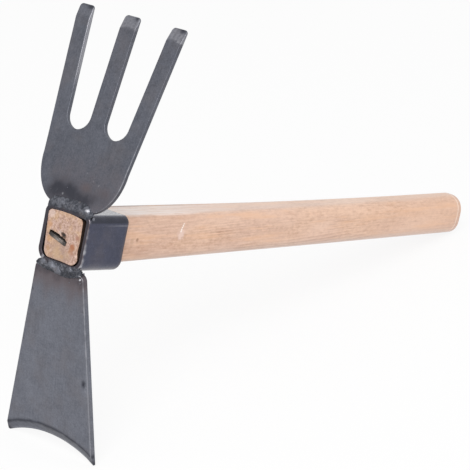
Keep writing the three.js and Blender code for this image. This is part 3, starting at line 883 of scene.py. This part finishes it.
# The same for the brownest places and for the bare flecks
FORK_BROWNS = [((-6.0, 14.0), (7.0, 4.5), 0.66), ((-20.0, 13.5), (9.0, 7.0), 0.55)]
FORK_FLECKS = [
    ((-10.2, 19.4), (0.6, 1.4), 0.7), ((8.0, 6.8), (0.45, 1.6), 0.7),
    ((-14.5, 17.0), (0.5, 1.1), 0.7), ((13.0, 8.0), (0.5, 0.9), 0.7),
    ((-4.0, 21.5), (0.9, 0.5), 0.7),
]


def fork():
    """The fork's plate. Its finish is bare on the ground tips, black above the weld and brown round
    that, with painted highlights along the edges that face the near side and painted shade along
    the front edges that face away."""
    outline = fork_outline()
    across = np.arange(-FORK_TIP_WIDTH / 2, FORK_TIP_WIDTH / 2, CREASE_STEP)
    crease = crease_runs(stacked(across, fork_crease(across)), outline)
    points, faces, rim, sharp = plate_shell(
        outline, FORK_THICKNESS, fork_front, crease, FORK_EDGE_ROUND,
    )
    u, v, n = points.T
    places = points[:, :2]
    ground = eased(v - fork_crease(u), -0.1, 0.25) * (n < FORK_THICKNESS - 0.4)
    polish_and_sheen = 0.44 + 0.08 * waves(places * [1, 0.12], (2.3, 1.6, 1.1), 17)
    near = np.clip(-rim["facing"], 0, 1)
    tine_middle = np.interp(v, (SLOT_FLOOR_HEIGHT, FORK_HEIGHT), (26.0, 34.0))
    in_slot = (v > SLOT_FLOOR_HEIGHT + 6) & (np.abs(u) < tine_middle)
    slot_wall = near * in_slot * eased(v, 55, 78) * (0.12 + 0.55 * eased(u, 4, 18))
    broken = 0.85 + 0.15 * waves(places, (9, 4), 13)
    shoulder = 1 - eased(v, 30, 55)
    bare_and_highlight = highest(
        ground * polish_and_sheen * (0.55 + 0.45 * (u < 18)),
        # Painted highlights along the front and back edges that face the near side.
        rim["front_edge"] * near * (0.26 + 0.4 * shoulder) * broken,
        rim["back_edge"] * near * (0.25 + 0.35 * shoulder) * broken,
        (rim["wall"] + rim["front_edge"] + rim["back_edge"]) * slot_wall,
    )
    scorch_and_shade = weld_scorch(places, 4.0, 5.0, 24.0, 17.0) * 0.25 + sum(spots(places, FORK_SCORCHES))
    scorch_and_shade = highest(
        np.clip(scorch_and_shade * (0.95 + 0.14 * dabs(places, 900, (0.8, 3.0), 23)), 0, 0.95),
        (rim["wall"] + rim["back_edge"]) * near * 0.3 * shoulder,
        eased(v, FORK_HEIGHT - 1.3, FORK_HEIGHT - 0.6) * 0.45,
        # Painted shade along the front edges that face away.
        rim["front_edge"] * np.clip(rim["facing"], 0, 1) * 0.15,
    )
    for across, size in FORK_TIP_SPOTS:
        spot = near_spot(places, (across, FORK_HEIGHT - 0.9), (size, 1.3))
        scorch_and_shade = np.maximum(scorch_and_shade, spot)
        bare_and_highlight = bare_and_highlight * (1 - spot)
    brown = weld_scorch(places, -6.0, 8.0, 36.0, 42.0) * 0.42
    fields = {
        "lay": points,
        "bare_and_highlight": highest(bare_and_highlight, *spots(places, FORK_FLECKS)),
        "scorch_and_shade": scorch_and_shade,
        "brown": highest(brown, *spots(places, FORK_BROWNS)),
    }
    placed = plate_points(points, *FORK_SEAT)
    make_piece("fork_plate", "fork", FORK_STEEL, placed, faces, fields, sharp)


def hoe_outline():
    """A flaring blade whose cutting edge is an arc through both corners and the hollow's middle."""
    foot = foot_clearance(HOE_THICKNESS, HOE_LEAN)
    top_half, edge_half = HOE_TOP_WIDTH / 2, HOE_EDGE_WIDTH / 2
    start = math.asin(edge_half / EDGE_RADIUS) - 2.6 * HOE_CORNER_ROUND / EDGE_RADIUS
    turn = np.linspace(start, -start, 90)
    edge = stacked(EDGE_RADIUS * np.sin(turn), EDGE_MIDDLE - EDGE_RADIUS * np.cos(turn), 0)
    return rounded_outline(np.vstack([
        [[-top_half, foot, HOE_TOP_CORNER_RADIUS], [top_half, foot, HOE_TOP_CORNER_RADIUS]],
        [[edge_half, HOE_HEIGHT, HOE_CORNER_ROUND]],
        edge,
        [[-edge_half, HOE_HEIGHT, HOE_CORNER_ROUND]],
    ]), OUTLINE_STEP)


def hoe_crease_radius(turn):
    """The radius at which the ground edge starts, a little uneven round the arc."""
    return EDGE_RADIUS + HOE_GRIND_WIDTH + 0.12 * waves(turn * 50, (23, 11, 6), 8)


def above_crease(place):
    """The distance from the middle of the edge's arc, and how far that is short of the crease."""
    u, v = (place - [0, EDGE_MIDDLE]).T
    reach = np.hypot(u, v)
    return reach, hoe_crease_radius(np.arctan2(u, -v)) - reach


def hoe_front(place):
    """A gentle unevenness, and a cone that sinks towards the edge's arc."""
    sunk = HOE_THICKNESS - HOE_EDGE_THICKNESS
    ground = np.maximum(0, above_crease(place)[1]) * sunk / HOE_GRIND_WIDTH
    uneven = 0.03 * (1 + waves(place, (52, 31, 19), 15))
    return np.minimum(ground + uneven + 0.5 * near_spot(place, HOE_NICK, (0.8, 1.6)), sunk)


def hoe():
    """The hoe's plate. Its finish is bare along the cut edge and brown below the weld, with painted
    highlights along the edges that face the near side and painted shade along the crease, at the
    corners and along the front edges that face away."""
    outline = hoe_outline()
    turn = np.linspace(-0.6, 0.6, 170)
    radius = hoe_crease_radius(turn)
    line = stacked(radius * np.sin(turn), EDGE_MIDDLE - radius * np.cos(turn))
    points, faces, rim, sharp = plate_shell(
        outline, HOE_THICKNESS, hoe_front, crease_runs(line, outline), HOE_EDGE_ROUND,
    )
    u, v, n = points.T
    places = points[:, :2]
    reach, into_grind = above_crease(places)
    on_front = n < HOE_THICKNESS - 0.4
    ground = eased(into_grind, -0.1, 0.25) * on_front
    cut_band = eased(EDGE_RADIUS + 1.5 - reach, 0, 0.9) * on_front
    near = np.clip(rim["facing"], 0, 1)
    glints = np.where(v < 52, 0.74 + 0.2 * waves(v, (23, 11, 6), 27), 0.72)
    bare_and_highlight = highest(
        ground * 0.16,
        ground * cut_band * (0.3 + 0.3 * eased(u, -10, 30)),
        # Painted highlights along the front and back edges that face the near side.
        rim["front_edge"] * near * np.clip(glints, 0.1, 1) * 0.8,
        rim["back_edge"] * near * 0.5,
        near_spot(places, HOE_NICK + [2.2, 2.6], (0.6, 3.0)) * 0.85 * on_front,
    )
    # Painted shade along the crease where the grinding starts and at the blade's corners.
    crease_line = bell((0.1 - into_grind) / 1.15) * on_front
    corner = near_spot(np.abs(places), (HOE_EDGE_WIDTH / 2 - 1.0, HOE_HEIGHT - 1.4), 2.9)
    scorch_and_shade = highest(
        weld_scorch(places, 0.0, 4.0, 34.0, 7.0) * 0.45,
        crease_line * (0.92 + 0.08 * waves(places, (17, 9), 29)),
        ground * 0.34,
        corner,
        near_spot(places, HOE_NICK, (1.2, 2.1)) * 1.1,
        # Painted shade along the front edges that face away.
        rim["front_edge"] * np.clip(-rim["facing"], 0, 1) * 0.12,
    )
    fields = {
        "lay": points,
        "bare_and_highlight": bare_and_highlight * (1 - corner),
        "scorch_and_shade": scorch_and_shade * (1 - ground * cut_band * (1 - corner)),
        "brown": weld_scorch(places, 0.0, 4.0, 34.0, 26.0) * 0.75,
    }
    placed = plate_points(points, *HOE_SEAT)
    make_piece("hoe_plate", "hoe_blade", HOE_STEEL, placed, faces, fields, sharp)


# Eye


def eye():
    """The bar's section, a rounded rectangle of length by wall, carried round a rounded square. A
    point of the section at depth d lies at the outer line less d times the outward direction."""
    pattern = section_pattern(14, 60)
    angle = pattern[2]
    outer = rounded_section(EYE_WIDTH, EYE_HEIGHT, EYE_BENDS, pattern)
    outward = stacked(np.cos(angle), np.sin(angle))
    edges = (EYE_EDGE_ROUND, EYE_EDGE_ROUND)
    bar = rounded_section(EYE_LENGTH, EYE_WALL, edges, section_pattern(5, 14))
    along, depth = (bar + [EYE_LENGTH / 2, EYE_WALL / 2]).T
    off_middle = np.abs(pattern[:2]).min(0)
    hollow = EYE_SIDE_HOLLOW * (1 - off_middle ** 4)
    round_bend = 1 - np.abs(np.mod(angle, QUARTER) / (QUARTER / 2) - 1)
    drawn_in = EYE_BEND_DRAW * (off_middle > 0.999) * round_bend
    to_outside = 1 - depth / EYE_WALL
    from_middle = EYE_LENGTH / 2 - along
    at_end = np.sign(from_middle) * (np.abs(from_middle) > EYE_LENGTH / 2 - 1)
    x = along + drawn_in[:, None] * to_outside * at_end
    sunk = depth + hollow[:, None] * to_outside
    points = np.dstack([x, outer[:, None] - outward[:, None] * sunk[..., None]])
    length = np.concatenate([[0], np.cumsum(np.linalg.norm(np.diff(outer, axis=0), axis=1))])
    lay = stacked(length[:, None], along, depth * 3)
    y, z = outer[:, :1], outer[:, 1:]
    outside = depth < 0.1
    front = along < 0.7
    slant = np.arctan2(*np.abs(outward.T[::-1]))[:, None]
    # Painted reflection: the upper bends are darkened as if they mirrored something dark.
    upper_bend = eased(slant, 0.02, 0.25) * (1 - eased(slant, 0.9, 1.4)) * (z > 0) * outside
    cut_face = 1 - eased(along, 0.1, 0.45)
    # Painted shadow: the rear edge is darkened and browned where it meets the handle.
    rear_edge = eased(along, EYE_LENGTH - 0.9, EYE_LENGTH - 0.2)
    side_line = bell((z - EYE_BEND_LINE) / 0.3) * outside * (np.abs(y) > 16)
    rim_line = front & (depth < 0.5) & (y < -12)
    glints = 0.7 + 0.3 * waves(z, (9, 4.2), 33)[:, None]
    top = eased(slant, 1.25, 1.5) * (z > 0) * outside * (1 - cut_face)
    # The eye's bare field is all painted highlight: bend line, near front edge, top, lower spot.
    bare_and_highlight = highest(
        side_line * (0.22 + 0.5 * eased(along, 5, 30)),
        rim_line * glints * (0.45 + 0.4 * eased(-z, -8, 6)),
        top * 0.48,
        near_spot(outer, (12.6, -14.6), 1.3)[:, None] * front * 0.9,
    )
    # Painted shade here: the dark reflection on the upper bends and the shadow at the rear edge.
    scorch_and_shade = highest(
        upper_bend * (0.85 + 0.12 * waves(stacked(along, z), (9, 5, 3), 35)),
        cut_face * 0.72 * (1 - rim_line),
        rear_edge * 0.4,
    )
    brown = highest(cut_face, rear_edge, outside * eased(-z, 11, 15.5) * 0.5)
    fields = {"lay": lay.reshape(-1, 3), "bare_and_highlight": bare_and_highlight.ravel(), "scorch_and_shade": scorch_and_shade.ravel(),
              "brown": brown.ravel()}
    faces = [grid_faces(len(outer), len(along), round_rows=True)]
    make_piece(
        "eye_bar", "eye_ring", EYE_STEEL, points.reshape(-1, 3), faces, fields,
    )


# Handle and wedge


def in_end_grain(strip):
    """(a, b, depth) along the strip's width, its thickness and into the wood, to tool
    millimetres: a turn of (a, b) by the wedge's tilt, then its place on the end grain."""
    a, b, depth = np.moveaxis(strip, -1, 0)
    y, z = turned(a, b, WEDGE_TILT)
    return stacked(depth - TENON_PROUD, y + WEDGE_ACROSS, z - WEDGE_BELOW)


def kerf_loop():
    """The kerf's mouth: tight under the wedge, open above it by a slit whose width swells as a
    half ellipse, a little uneven, and longer than the wedge towards +Y."""
    half = WEDGE_WIDTH / 2 + 0.15
    a = np.linspace(-half, half + KERF_OVERRUN, 38)
    spread = np.clip((a - a.mean()) / (a[-1] - a.mean()), -0.98, 0.98)
    slit = 0.1 + 1.25 * np.sqrt(1 - spread ** 2) + 0.12 * waves(a, (5, 2.3), 4)
    under = stacked(a, -WEDGE_FACE_THICKNESS / 2 - 0.06)
    over = stacked(a, WEDGE_FACE_THICKNESS / 2 + slit)
    return np.vstack([under, over[::-1]])


def handle_rings():
    """Rings along the handle: the tenon with its rounded end, the shoulder's smooth ramp, the
    straight taper whose section turns from a rounded rectangle to an oval, and the rounded butt.
    A rounded end is a quarter circle of depth round (1 - cos a) and inset round (1 - sin a)."""
    taper_start = SHOULDER_START + SHOULDER_RUN

    def tenon(x):
        return stacked(x, 0, 0, TENON_WIDTH, TENON_HEIGHT, *TENON_CORNERS)

    def tapered(x):
        share = (x - taper_start) / (HANDLE_REACH - taper_start)
        width, height, radius = np.outer(HANDLE_HEAD, 1 - share) + np.outer(HANDLE_BUTT, share)
        waist = HANDLE_WAIST * np.sin(math.pi * share)
        axis = x * math.tan(HANDLE_PITCH) + HANDLE_AXIS_LIFT - waist / 2
        return stacked(x, axis, HANDLE_PITCH, width, height - waist, radius, radius)

    nose_turn = np.linspace(0, QUARTER, 7)
    butt_turn = np.linspace(QUARTER, 0, 9)[1:]
    share = np.linspace(0, 1, 11)[1:]
    ramp = SHOULDER_START + SHOULDER_RUN * share
    ease = eased(share, 0, 1)[:, None]
    rings = np.vstack([
        tenon(TENON_EDGE_ROUND * (1 - np.cos(nose_turn)) - TENON_PROUD),
        tenon(np.linspace(TENON_EDGE_ROUND - TENON_PROUD, SHOULDER_START, 17)[1:]),
        tenon(ramp) * (1 - ease) + tapered(ramp) * ease,
        tapered(np.linspace(taper_start, HANDLE_REACH - BUTT_EDGE_ROUND, 176)[1:]),
        tapered(HANDLE_REACH - BUTT_EDGE_ROUND * (1 - np.cos(butt_turn))),
    ])
    inset = np.full(len(rings), HANDLE_SHRINK)
    inset[:len(nose_turn)] += TENON_EDGE_ROUND * (1 - np.sin(nose_turn))
    inset[-len(butt_turn):] += BUTT_EDGE_ROUND * (1 - np.sin(butt_turn))
    return rings, inset


def swollen_end(points):
    """The struck end spreads over the eye's edge: its top rises by 1 - (y / 13)^2 and its underside
    sags by exp(-((y + 8.5) / 3.5)^2) of a fixed amount, only in front of the eye. Its sides lean
    towards +Y with their height, and dying out with the depth."""
    x, y, z = np.moveaxis(points, -1, 0)
    proud = 1 - eased(x, -0.14, -0.02)
    rise = (1 - ((y - 1) / 13) ** 2) * eased(z, 6, 13)
    sag = 0.35 * bell((y + 8.5) / 3.5) * eased(-z, 6, 13)
    left = (0.1 + 0.085 * z) * eased(y, 6, 12.5)
    right = (0.6 + 0.05 * z + 0.7 * bell((z + 4.5) / 3)) * eased(-y, 6, 12.5)
    shallow = 1 - eased(x, 1, 9)
    return stacked(x, y + (left + right) * shallow, z + (rise - sag) * proud)


def handle():
    """The rounded sections along the rings, shaved a little unevenly, with the swollen end, the
    kerf and a pit in the end grain, and the butt drawn together in shrinking rings."""
    rings, inset = handle_rings()
    pattern = section_pattern(11, 13)
    x, axis, pitch, width, height, upper, lower = rings.T[..., None]
    drawn = inset[:, None]
    section = rounded_section(
        width - 2 * drawn, height - 2 * drawn, (upper - drawn, lower - drawn), pattern,
    )
    across, upright = np.moveaxis(section, -1, 0)
    shaved = 0.05 * (1 + waves(stacked(x / 9, across, upright), (17, 9, 6), 21))
    shaved = shaved * eased(x, SHOULDER_START, SHOULDER_START + 12)
    kept = 1 - shaved / np.hypot(across, upright)
    across, upright = across * kept, upright * kept
    skin = swollen_end(stacked(
        x - upright * np.sin(pitch), across, axis + upright * np.cos(pitch)))
    rows, columns = skin.shape[:2]
    nose = skin[0][:, 1:]
    kerf = kerf_loop()
    share = np.linspace(0, 1, 9)[:, None]
    walls = in_end_grain(stacked(
        kerf[:, 0] * (1 - 0.02 * share), kerf[:, 1] * (1 - 0.6 * share), KERF_DEPTH * share,
    ))
    mouth = walls[0][:, 1:]
    inside = spread_within(nose, END_GRAIN_STEP, np.vstack([nose, mouth]))
    inside = inside[~within(inside, mouth)]
    rough = 0.05 * (1 + waves(inside, (2.6, 1.5, 1.1), 31)) * eased(
        clearance(inside, nose), 0, 1.5)
    pit = near_spot(inside, (0.2, 1.4), (1.5, 0.9))
    cap = np.column_stack([rough + pit - TENON_PROUD, inside])
    butt_middle = skin[-1].mean(0)
    shrinking = np.linspace(1, 0.06, 9)[1:, None, None]
    butt = butt_middle + (skin[-1] - butt_middle) * shrinking
    parts = [part.reshape(-1, 3) for part in (
        skin, walls, cap, butt, butt_middle, walls[-1].mean(0))]
    starts = np.cumsum([0] + [len(part) for part in parts])
    points = np.vstack(parts)
    cap_index = np.r_[0:columns, starts[1]:starts[1] + len(kerf), starts[2]:starts[3]]
    butt_rows = np.r_[starts[1] - columns:starts[1], starts[3]:starts[4]].reshape(-1, columns)
    kerf_floor = np.arange(starts[2] - len(kerf), starts[2])
    faces = [
        grid_faces(rows, columns),
        starts[1] + grid_faces(len(walls), len(kerf)),
        cap_index[filled(nose, inside, hole=mouth)],
        butt_rows.ravel()[grid_faces(len(butt_rows), columns)],
        stacked(starts[4], butt_rows[-1], np.roll(butt_rows[-1], -1)),
        stacked(starts[5], kerf_floor, np.roll(kerf_floor, -1)),
    ]
    cut = np.zeros(len(points))
    cut[:columns * 4] = 1
    cut[starts[1] - columns * 3:starts[5]] = 1
    lay = points.copy()
    lay[:, 2] -= lay[:, 0] * math.tan(HANDLE_PITCH)
    up = np.pad(np.tile(np.sin(pattern[2]), rows), (0, len(points) - starts[1]))
    fields = {"lay": lay, "cut": cut, "up": up}
    make_piece("handle_wood", "handle", HANDLE_WOOD, points, faces, fields)


def wedge():
    """A strip whose thickness tapers with its depth. Its struck face is bruised: it bulges at the
    edges and its surface is uneven."""
    depth = np.array([0, 0.08, 0.25, *np.linspace(0.6, WEDGE_LENGTH, 14)])[:, None]
    drawn = np.array([0.25, 0.08, *np.zeros(15)])[:, None]
    share = depth / WEDGE_LENGTH
    thickness = WEDGE_FACE_THICKNESS * (1 - share) + WEDGE_POINT_THICKNESS * share
    section = rounded_section(
        WEDGE_WIDTH - 2 * drawn, thickness - 2 * drawn, WEDGE_CORNERS, section_pattern(3, 12),
    )
    rings = stacked(*np.moveaxis(section, -1, 0), depth - WEDGE_PROUD)
    shrink = np.linspace(0.85, 0.1, 5)[:, None]
    face = rings[0] * stacked(shrink, shrink, 1)
    dents = 0.12 * (1 + waves(face[..., :2], (3.1, 1.7, 1.2), 41))
    face[..., 2] += dents * (1 - shrink * 0.3)
    points, faces = capped_tube(np.concatenate([face[::-1], rings]))
    placed = in_end_grain(points)
    fields = {"lay": points}
    make_piece("wedge_strip", "wedge", WEDGE_STEEL, placed, faces, fields)


# Welds


def bead(stations, first_toe, second_toe, outward, crown, sink, ripple, lumps, seed):
    """A bead along its stations. Its section goes from one toe over a crown of height
    crown sin(pi t)^0.7 to the other toe, and back below the steel. The crown dips between
    ripples, which bow along the bead, and swells in lumps. Both ends die out. How high each place
    is, from 0 to 1, goes to the finish."""
    share = np.concatenate([np.linspace(0, 1, 22), np.linspace(1, 0, 8)[1:-1]])
    on_top = np.arange(len(share)) < 22
    arch = np.sin(math.pi * share)
    height, depth = arch ** 0.7 * on_top, arch ** 0.5 * ~on_top
    along = np.linspace(-1, 1, len(stations))[:, None]
    fade = np.sqrt(np.maximum(0, 1 - along ** 6))
    place = stations[:, None] + arch * on_top * 1.3 * (1 - along ** 2)
    phase = place / RIPPLE_PITCH + 0.25 * waves(stations, (19, 8), seed)[:, None]
    dip = np.abs(np.cos(math.pi * phase)) ** 1.5
    lay = stacked(stations[:, None], share * 7)
    uneven = dabs(lay.reshape(-1, 2), 190, (0.5, 2.0), seed + 1).reshape(dip.shape)
    swell = 1 - ripple * dip + lumps * uneven
    rise = crown * fade * height * np.maximum(swell, 0.15) - sink * depth * fade
    first_toe, second_toe = first_toe[:, None], second_toe[:, None]
    middle = (first_toe + second_toe) / 2
    line = first_toe * (1 - share[:, None]) + second_toe * share[:, None]
    line = middle + (line - middle) * (0.35 + 0.65 * fade[..., None])
    section = line + outward * rise[..., None]
    lumpy = (swell - 1 + ripple * dip * 0.5) * 1.4
    high = np.clip((height * 0.3 + (1 - dip) * 1.2 * ripple + 0.22 + lumpy) * fade, 0, 1)
    return np.dstack([place, section]), high


def spatter(drops):
    """Small balls of weld metal: (cos a sin b, sin a sin b, cos b) times the size."""
    a = np.linspace(0, 2 * math.pi, 9)[:-1]
    b = np.linspace(0, math.pi, 6)[1:-1, None]
    ball = stacked(np.cos(a) * np.sin(b), np.sin(a) * np.sin(b), np.cos(b))
    return [capped_tube(ball * size + place) for place, size in drops]


def weld_piece(name, node, bead_made, place, drops=(), shines=(), metal=GRITTY_WELD):
    """A bead and its drops of spatter in one mesh, placed by the given function. A shine is a
    painted highlight: its middle (u, v), its size each way and its strength."""
    rings, high = bead_made
    parts = [capped_tube(rings), *spatter(drops)]
    starts = np.cumsum([0] + [len(points) for points, _ in parts])
    faces = [face + start for start, (_, group) in zip(starts, parts) for face in group]
    points = np.vstack([points for points, _ in parts])
    raised = np.concatenate([high.ravel(), [0.2, 0.2], np.full(len(points) - starts[1], 0.75)])
    shine = highest(np.zeros(len(points)), *spots(points[:, :2], shines))
    fields = {"lay": points, "high": raised, "shine": shine}
    make_piece(name, node, metal, place(points), faces, fields)


def front_toes(stations, rises, falls, lean, setback, seed):
    """The toe on the plate rises and the toe on the eye's front falls from the eye's edge, both
    by (station, height) pairs: tool (0, z) gives v = (x - setback) sin + (z - half) cos and
    n = (x - setback) cos - (z - half) sin."""
    rise = np.interp(stations, *np.transpose(rises)) + 0.15 * waves(stations, (6, 3.3), seed)
    fall = np.interp(stations, *np.transpose(falls)) + 0.12 * waves(stations, (7, 3.7), seed + 1)
    n, v = turned(EYE_TOE_DEPTH - setback, -fall, lean)
    return stacked(v, n), stacked(rise, PLATE_TOE_DEPTH)


# (station, height) pairs of the front welds' toes on the plate and on the eye, then the place and
# size of each drop of spatter, and the middle, half size and strength of each painted highlight
FORK_WELD_RISES = [(-17.2, 2.6), (-13.6, 4.85), (-10.5, 6.05), (-5.1, 6.25), (5.3, 5.55),
                   (12.4, 5.2), (15.9, 3.2)]
FORK_WELD_FALLS = [(-17.2, 0.6), (-15.0, 2.6), (-12.4, 2.9), (-10.0, 2.0), (-6.7, 1.5), (-3.4, 1.2),
                   (4.2, 1.0), (7.3, 1.3), (10.4, 1.9), (12.7, 2.4), (15.9, 3.4)]
FORK_WELD_DROPS = [((-15.5, -1.1, 2.9), 1.2), ((-16.4, 1.1, 0.6), 0.8), ((-18.5, 3.2, 0.2), 0.35),
                   ((17.0, 7.5, 0.1), 0.3), ((6.0, 11.0, 0.1), 0.3)]
FORK_WELD_SHINES = [((-12.9, 2.4), (1.8, 0.9), 1.1), ((-15.5, -1.1), (1.5, 1.5), 0.45),
                    ((7.0, 0.8), (3.0, 1.3), 0.35), ((-8.5, 1.2), (3.5, 0.8), 0.35)]
HOE_WELD_RISES = [(-17.5, 2.8), (-15.1, 4.0), (-12.5, 4.7), (-2.3, 5.2), (2.2, 5.8), (6.5, 5.4),
                  (11.3, 4.2), (14.9, 3.2), (17.6, 1.8)]
HOE_WELD_FALLS = [(-17.5, -2.0), (-16.3, -0.8), (-15.2, 0.5), (-13.0, 1.6), (-10.0, 2.0),
                  (2.4, 2.5), (7.0, 1.9), (10.6, 2.4), (13.4, 3.2), (15.5, 2.8), (17.6, 1.6)]
HOE_WELD_DROPS = [((15.9, 3.6, -0.1), 0.7), ((16.0, 5.8, 0.1), 0.4), ((16.9, 0.2, 1.4), 0.6),
                  ((-4, 9.5, 0.1), 0.3), ((8, 7.4, 0.1), 0.35)]
HOE_WELD_SHINES = [((16.0, 1.4), (1.1, 0.8), 1.0), ((15.9, 3.6), (1.0, 1.6), 0.9),
                   ((6.5, 3.0), (1.0, 1.6), 0.45), ((12.5, 1.0), (1.6, 0.8), 0.45),
                   ((-12.5, 1.0), (2.2, 0.8), 0.35), ((4.0, 5.0), (1.0, 0.7), 0.4)]


def front_weld(name, node, seat, stations, rises, falls, crown, lumps, seed, *looks):
    """A bead between a plate's face and the eye's front."""
    toes = front_toes(stations, rises, falls, *seat[:2], seed)
    made = bead(stations, *toes, np.array([0, -1.0]), crown, 0.8, 0.0, lumps, seed + 1)
    weld_piece(name, node, made, lambda points: plate_points(points, *seat), *looks)


def back_weld(name, node, half_length, thickness, seat, seed):
    """A fillet in the corner behind a plate, between its back face and the eye."""
    lean = seat[0]
    stations = np.linspace(-half_length, half_length, 130)
    uneven = 0.25 * waves(stations, (9, 5, 3), seed)[:, None]
    along_eye = np.array([math.sin(lean), math.cos(lean)])
    corner = along_eye * (thickness + SEAT_GAP * math.sin(lean)) / math.cos(lean)
    eye_toe = corner + along_eye * (BACK_WELD_LEG + uneven)
    plate_toe = corner + np.array([1.0, 0.0]) * (BACK_WELD_LEG - uneven)
    outward = np.array([1.0, 1.0]) / math.sqrt(2)
    made = bead(stations, eye_toe, plate_toe, outward, BACK_WELD_CROWN, 3.0,
                HIDDEN_RIPPLE, HIDDEN_LUMPS, seed + 2)
    weld_piece(name, node, made, lambda points: plate_points(points, *seat))


def seam_weld():
    """A flat bead under the eye, along the line where the bar's ends meet."""
    half = (SEAM_WELD_END - SEAM_WELD_START) / 2
    middle = (SEAM_WELD_END + SEAM_WELD_START) / 2
    stations = np.linspace(-half, half, 110)
    width = SEAM_WELD_WIDTH / 2 + 0.2 * waves(stations, (8, 4), 91)
    made = bead(stations, stacked(-width, -0.1), stacked(width, -0.1), np.array([0, 1.0]),
                SEAM_WELD_CROWN, 0.7, HIDDEN_RIPPLE, HIDDEN_LUMPS, 92)
    weld_piece("seam_bead", "weld_eye_seam", made,
               lambda points: points * [1, 1, -1] + [middle, 0, -EYE_HALF])


fork()
hoe()
eye()
handle()
wedge()
front_weld(
    "fork_front_bead", "weld_fork_front", FORK_SEAT, np.linspace(-17.2, 15.9, 170),
    FORK_WELD_RISES, FORK_WELD_FALLS, 0.95, 0.1, 51, FORK_WELD_DROPS, FORK_WELD_SHINES, SMOOTH_WELD,
)
front_weld(
    "hoe_front_bead", "weld_hoe_front", HOE_SEAT, np.linspace(-16.7, 17.4, 180),
    HOE_WELD_RISES, HOE_WELD_FALLS, 1.15, 0.34, 61, HOE_WELD_DROPS, HOE_WELD_SHINES,
)
back_weld("fork_back_bead", "weld_fork_back", 13.0, FORK_THICKNESS, FORK_SEAT, 71)
back_weld("hoe_back_bead", "weld_hoe_back", 11.0, HOE_THICKNESS, HOE_SEAT, 81)
seam_weld()

# Floor, light and camera

FLOOR_HALF = 4.5
FLOOR_SHADOW_SHARE = 0.13  # how much of the floor that the camera sees takes the shadow
ROOM_LEVEL = 0.66
LAMP_AIM = Vector((0, 0, 0.1))
CAMERA_PLACE = Vector((-0.921707, -0.722584, 0.587125))
CAMERA_LOOK = Vector((0.707431, 0.576835, -0.408415))
CAMERA_ROLL = math.radians(0.24)
CAMERA_LENS = 158.506


def backdrop_share(paint):
    """1 for what the camera sees or what shows in gloss or glass, 0 for plain light."""
    rays = ("Is Camera Ray", "Is Glossy Ray", "Is Transmission Ray")
    total = sum(paint.node("ShaderNodeLightPath", {}, {}, ray) for ray in rays)
    return paint.node("ShaderNodeMath", {"operation": "MINIMUM"}, {0: total, 1: 1.0})


def floor():
    """A flat square. Seen directly it is mostly plain white, and the rest takes the shadow."""
    paint = Paint(bpy.data.materials.new("pale_floor"))
    matt = paint.node("ShaderNodeBsdfDiffuse", {}, {"Color": (0.86, 0.86, 0.86, 1)})
    plain = paint.node("ShaderNodeEmission", {}, {"Color": (1, 1, 1, 1), "Strength": 1.0})
    share = backdrop_share(paint) * (1 - FLOOR_SHADOW_SHARE)
    surface = paint.node("ShaderNodeMixShader", {}, {0: share, 1: matt, 2: plain})
    paint.node("ShaderNodeOutputMaterial", {}, {"Surface": surface})
    mesh = bpy.data.meshes.new("floor")
    corners = [(-1, -1), (1, -1), (1, 1), (-1, 1)]
    mesh.from_pydata([(x * FLOOR_HALF, y * FLOOR_HALF, 0) for x, y in corners], [], [range(4)])
    mesh.materials.append(paint.owner)
    piece = added("floor", mesh)


def surroundings():
    """A soft white room: plain light of its own level, and white where it is seen or mirrored."""
    world = bpy.data.worlds.new("white_room")
    bpy.context.scene.world = world
    paint = Paint(world)
    strength = ROOM_LEVEL + backdrop_share(paint) * (1.0 - ROOM_LEVEL)
    light = paint.node(
        "ShaderNodeBackground", {}, {"Color": (1.0, 1.0, 1.0, 1), "Strength": strength},
    )
    paint.node("ShaderNodeOutputWorld", {}, {"Surface": light})


def aimed(piece, place, look, roll=0.0):
    """The piece at its place, with its -Z along the look, rolled about it."""
    piece.location = place
    piece.rotation_mode = "QUATERNION"
    piece.rotation_quaternion = look.to_track_quat("-Z", "Y") @ Quaternion((0, 0, 1), roll)
    return piece


def lamp(name, place, size, power):
    """A square soft lamp that faces the tool."""
    data = bpy.data.lights.new(name, "AREA")
    data.shape = "SQUARE"
    data.size = size
    data.energy = power
    aimed(added(name, data), place, LAMP_AIM - place)


def camera():
    """A long lens, rolled a little, that takes in the whole tool."""
    data = bpy.data.cameras.new("camera")
    data.sensor_fit = "HORIZONTAL"
    data.sensor_width = 36.0
    data.lens = CAMERA_LENS
    data.clip_start = 0.01
    data.clip_end = 50.0
    piece = aimed(added("camera", data), CAMERA_PLACE, CAMERA_LOOK, CAMERA_ROLL)
    bpy.context.scene.camera = piece


floor()
surroundings()
lamp("window_lamp", Vector((-1.3, -0.7, 1.7)), 1.3, 27.0)
lamp("side_lamp", Vector((0.6, -2.0, 1.0)), 1.4, 9.0)
camera()
bpy.context.scene.view_settings.view_transform = "Standard"
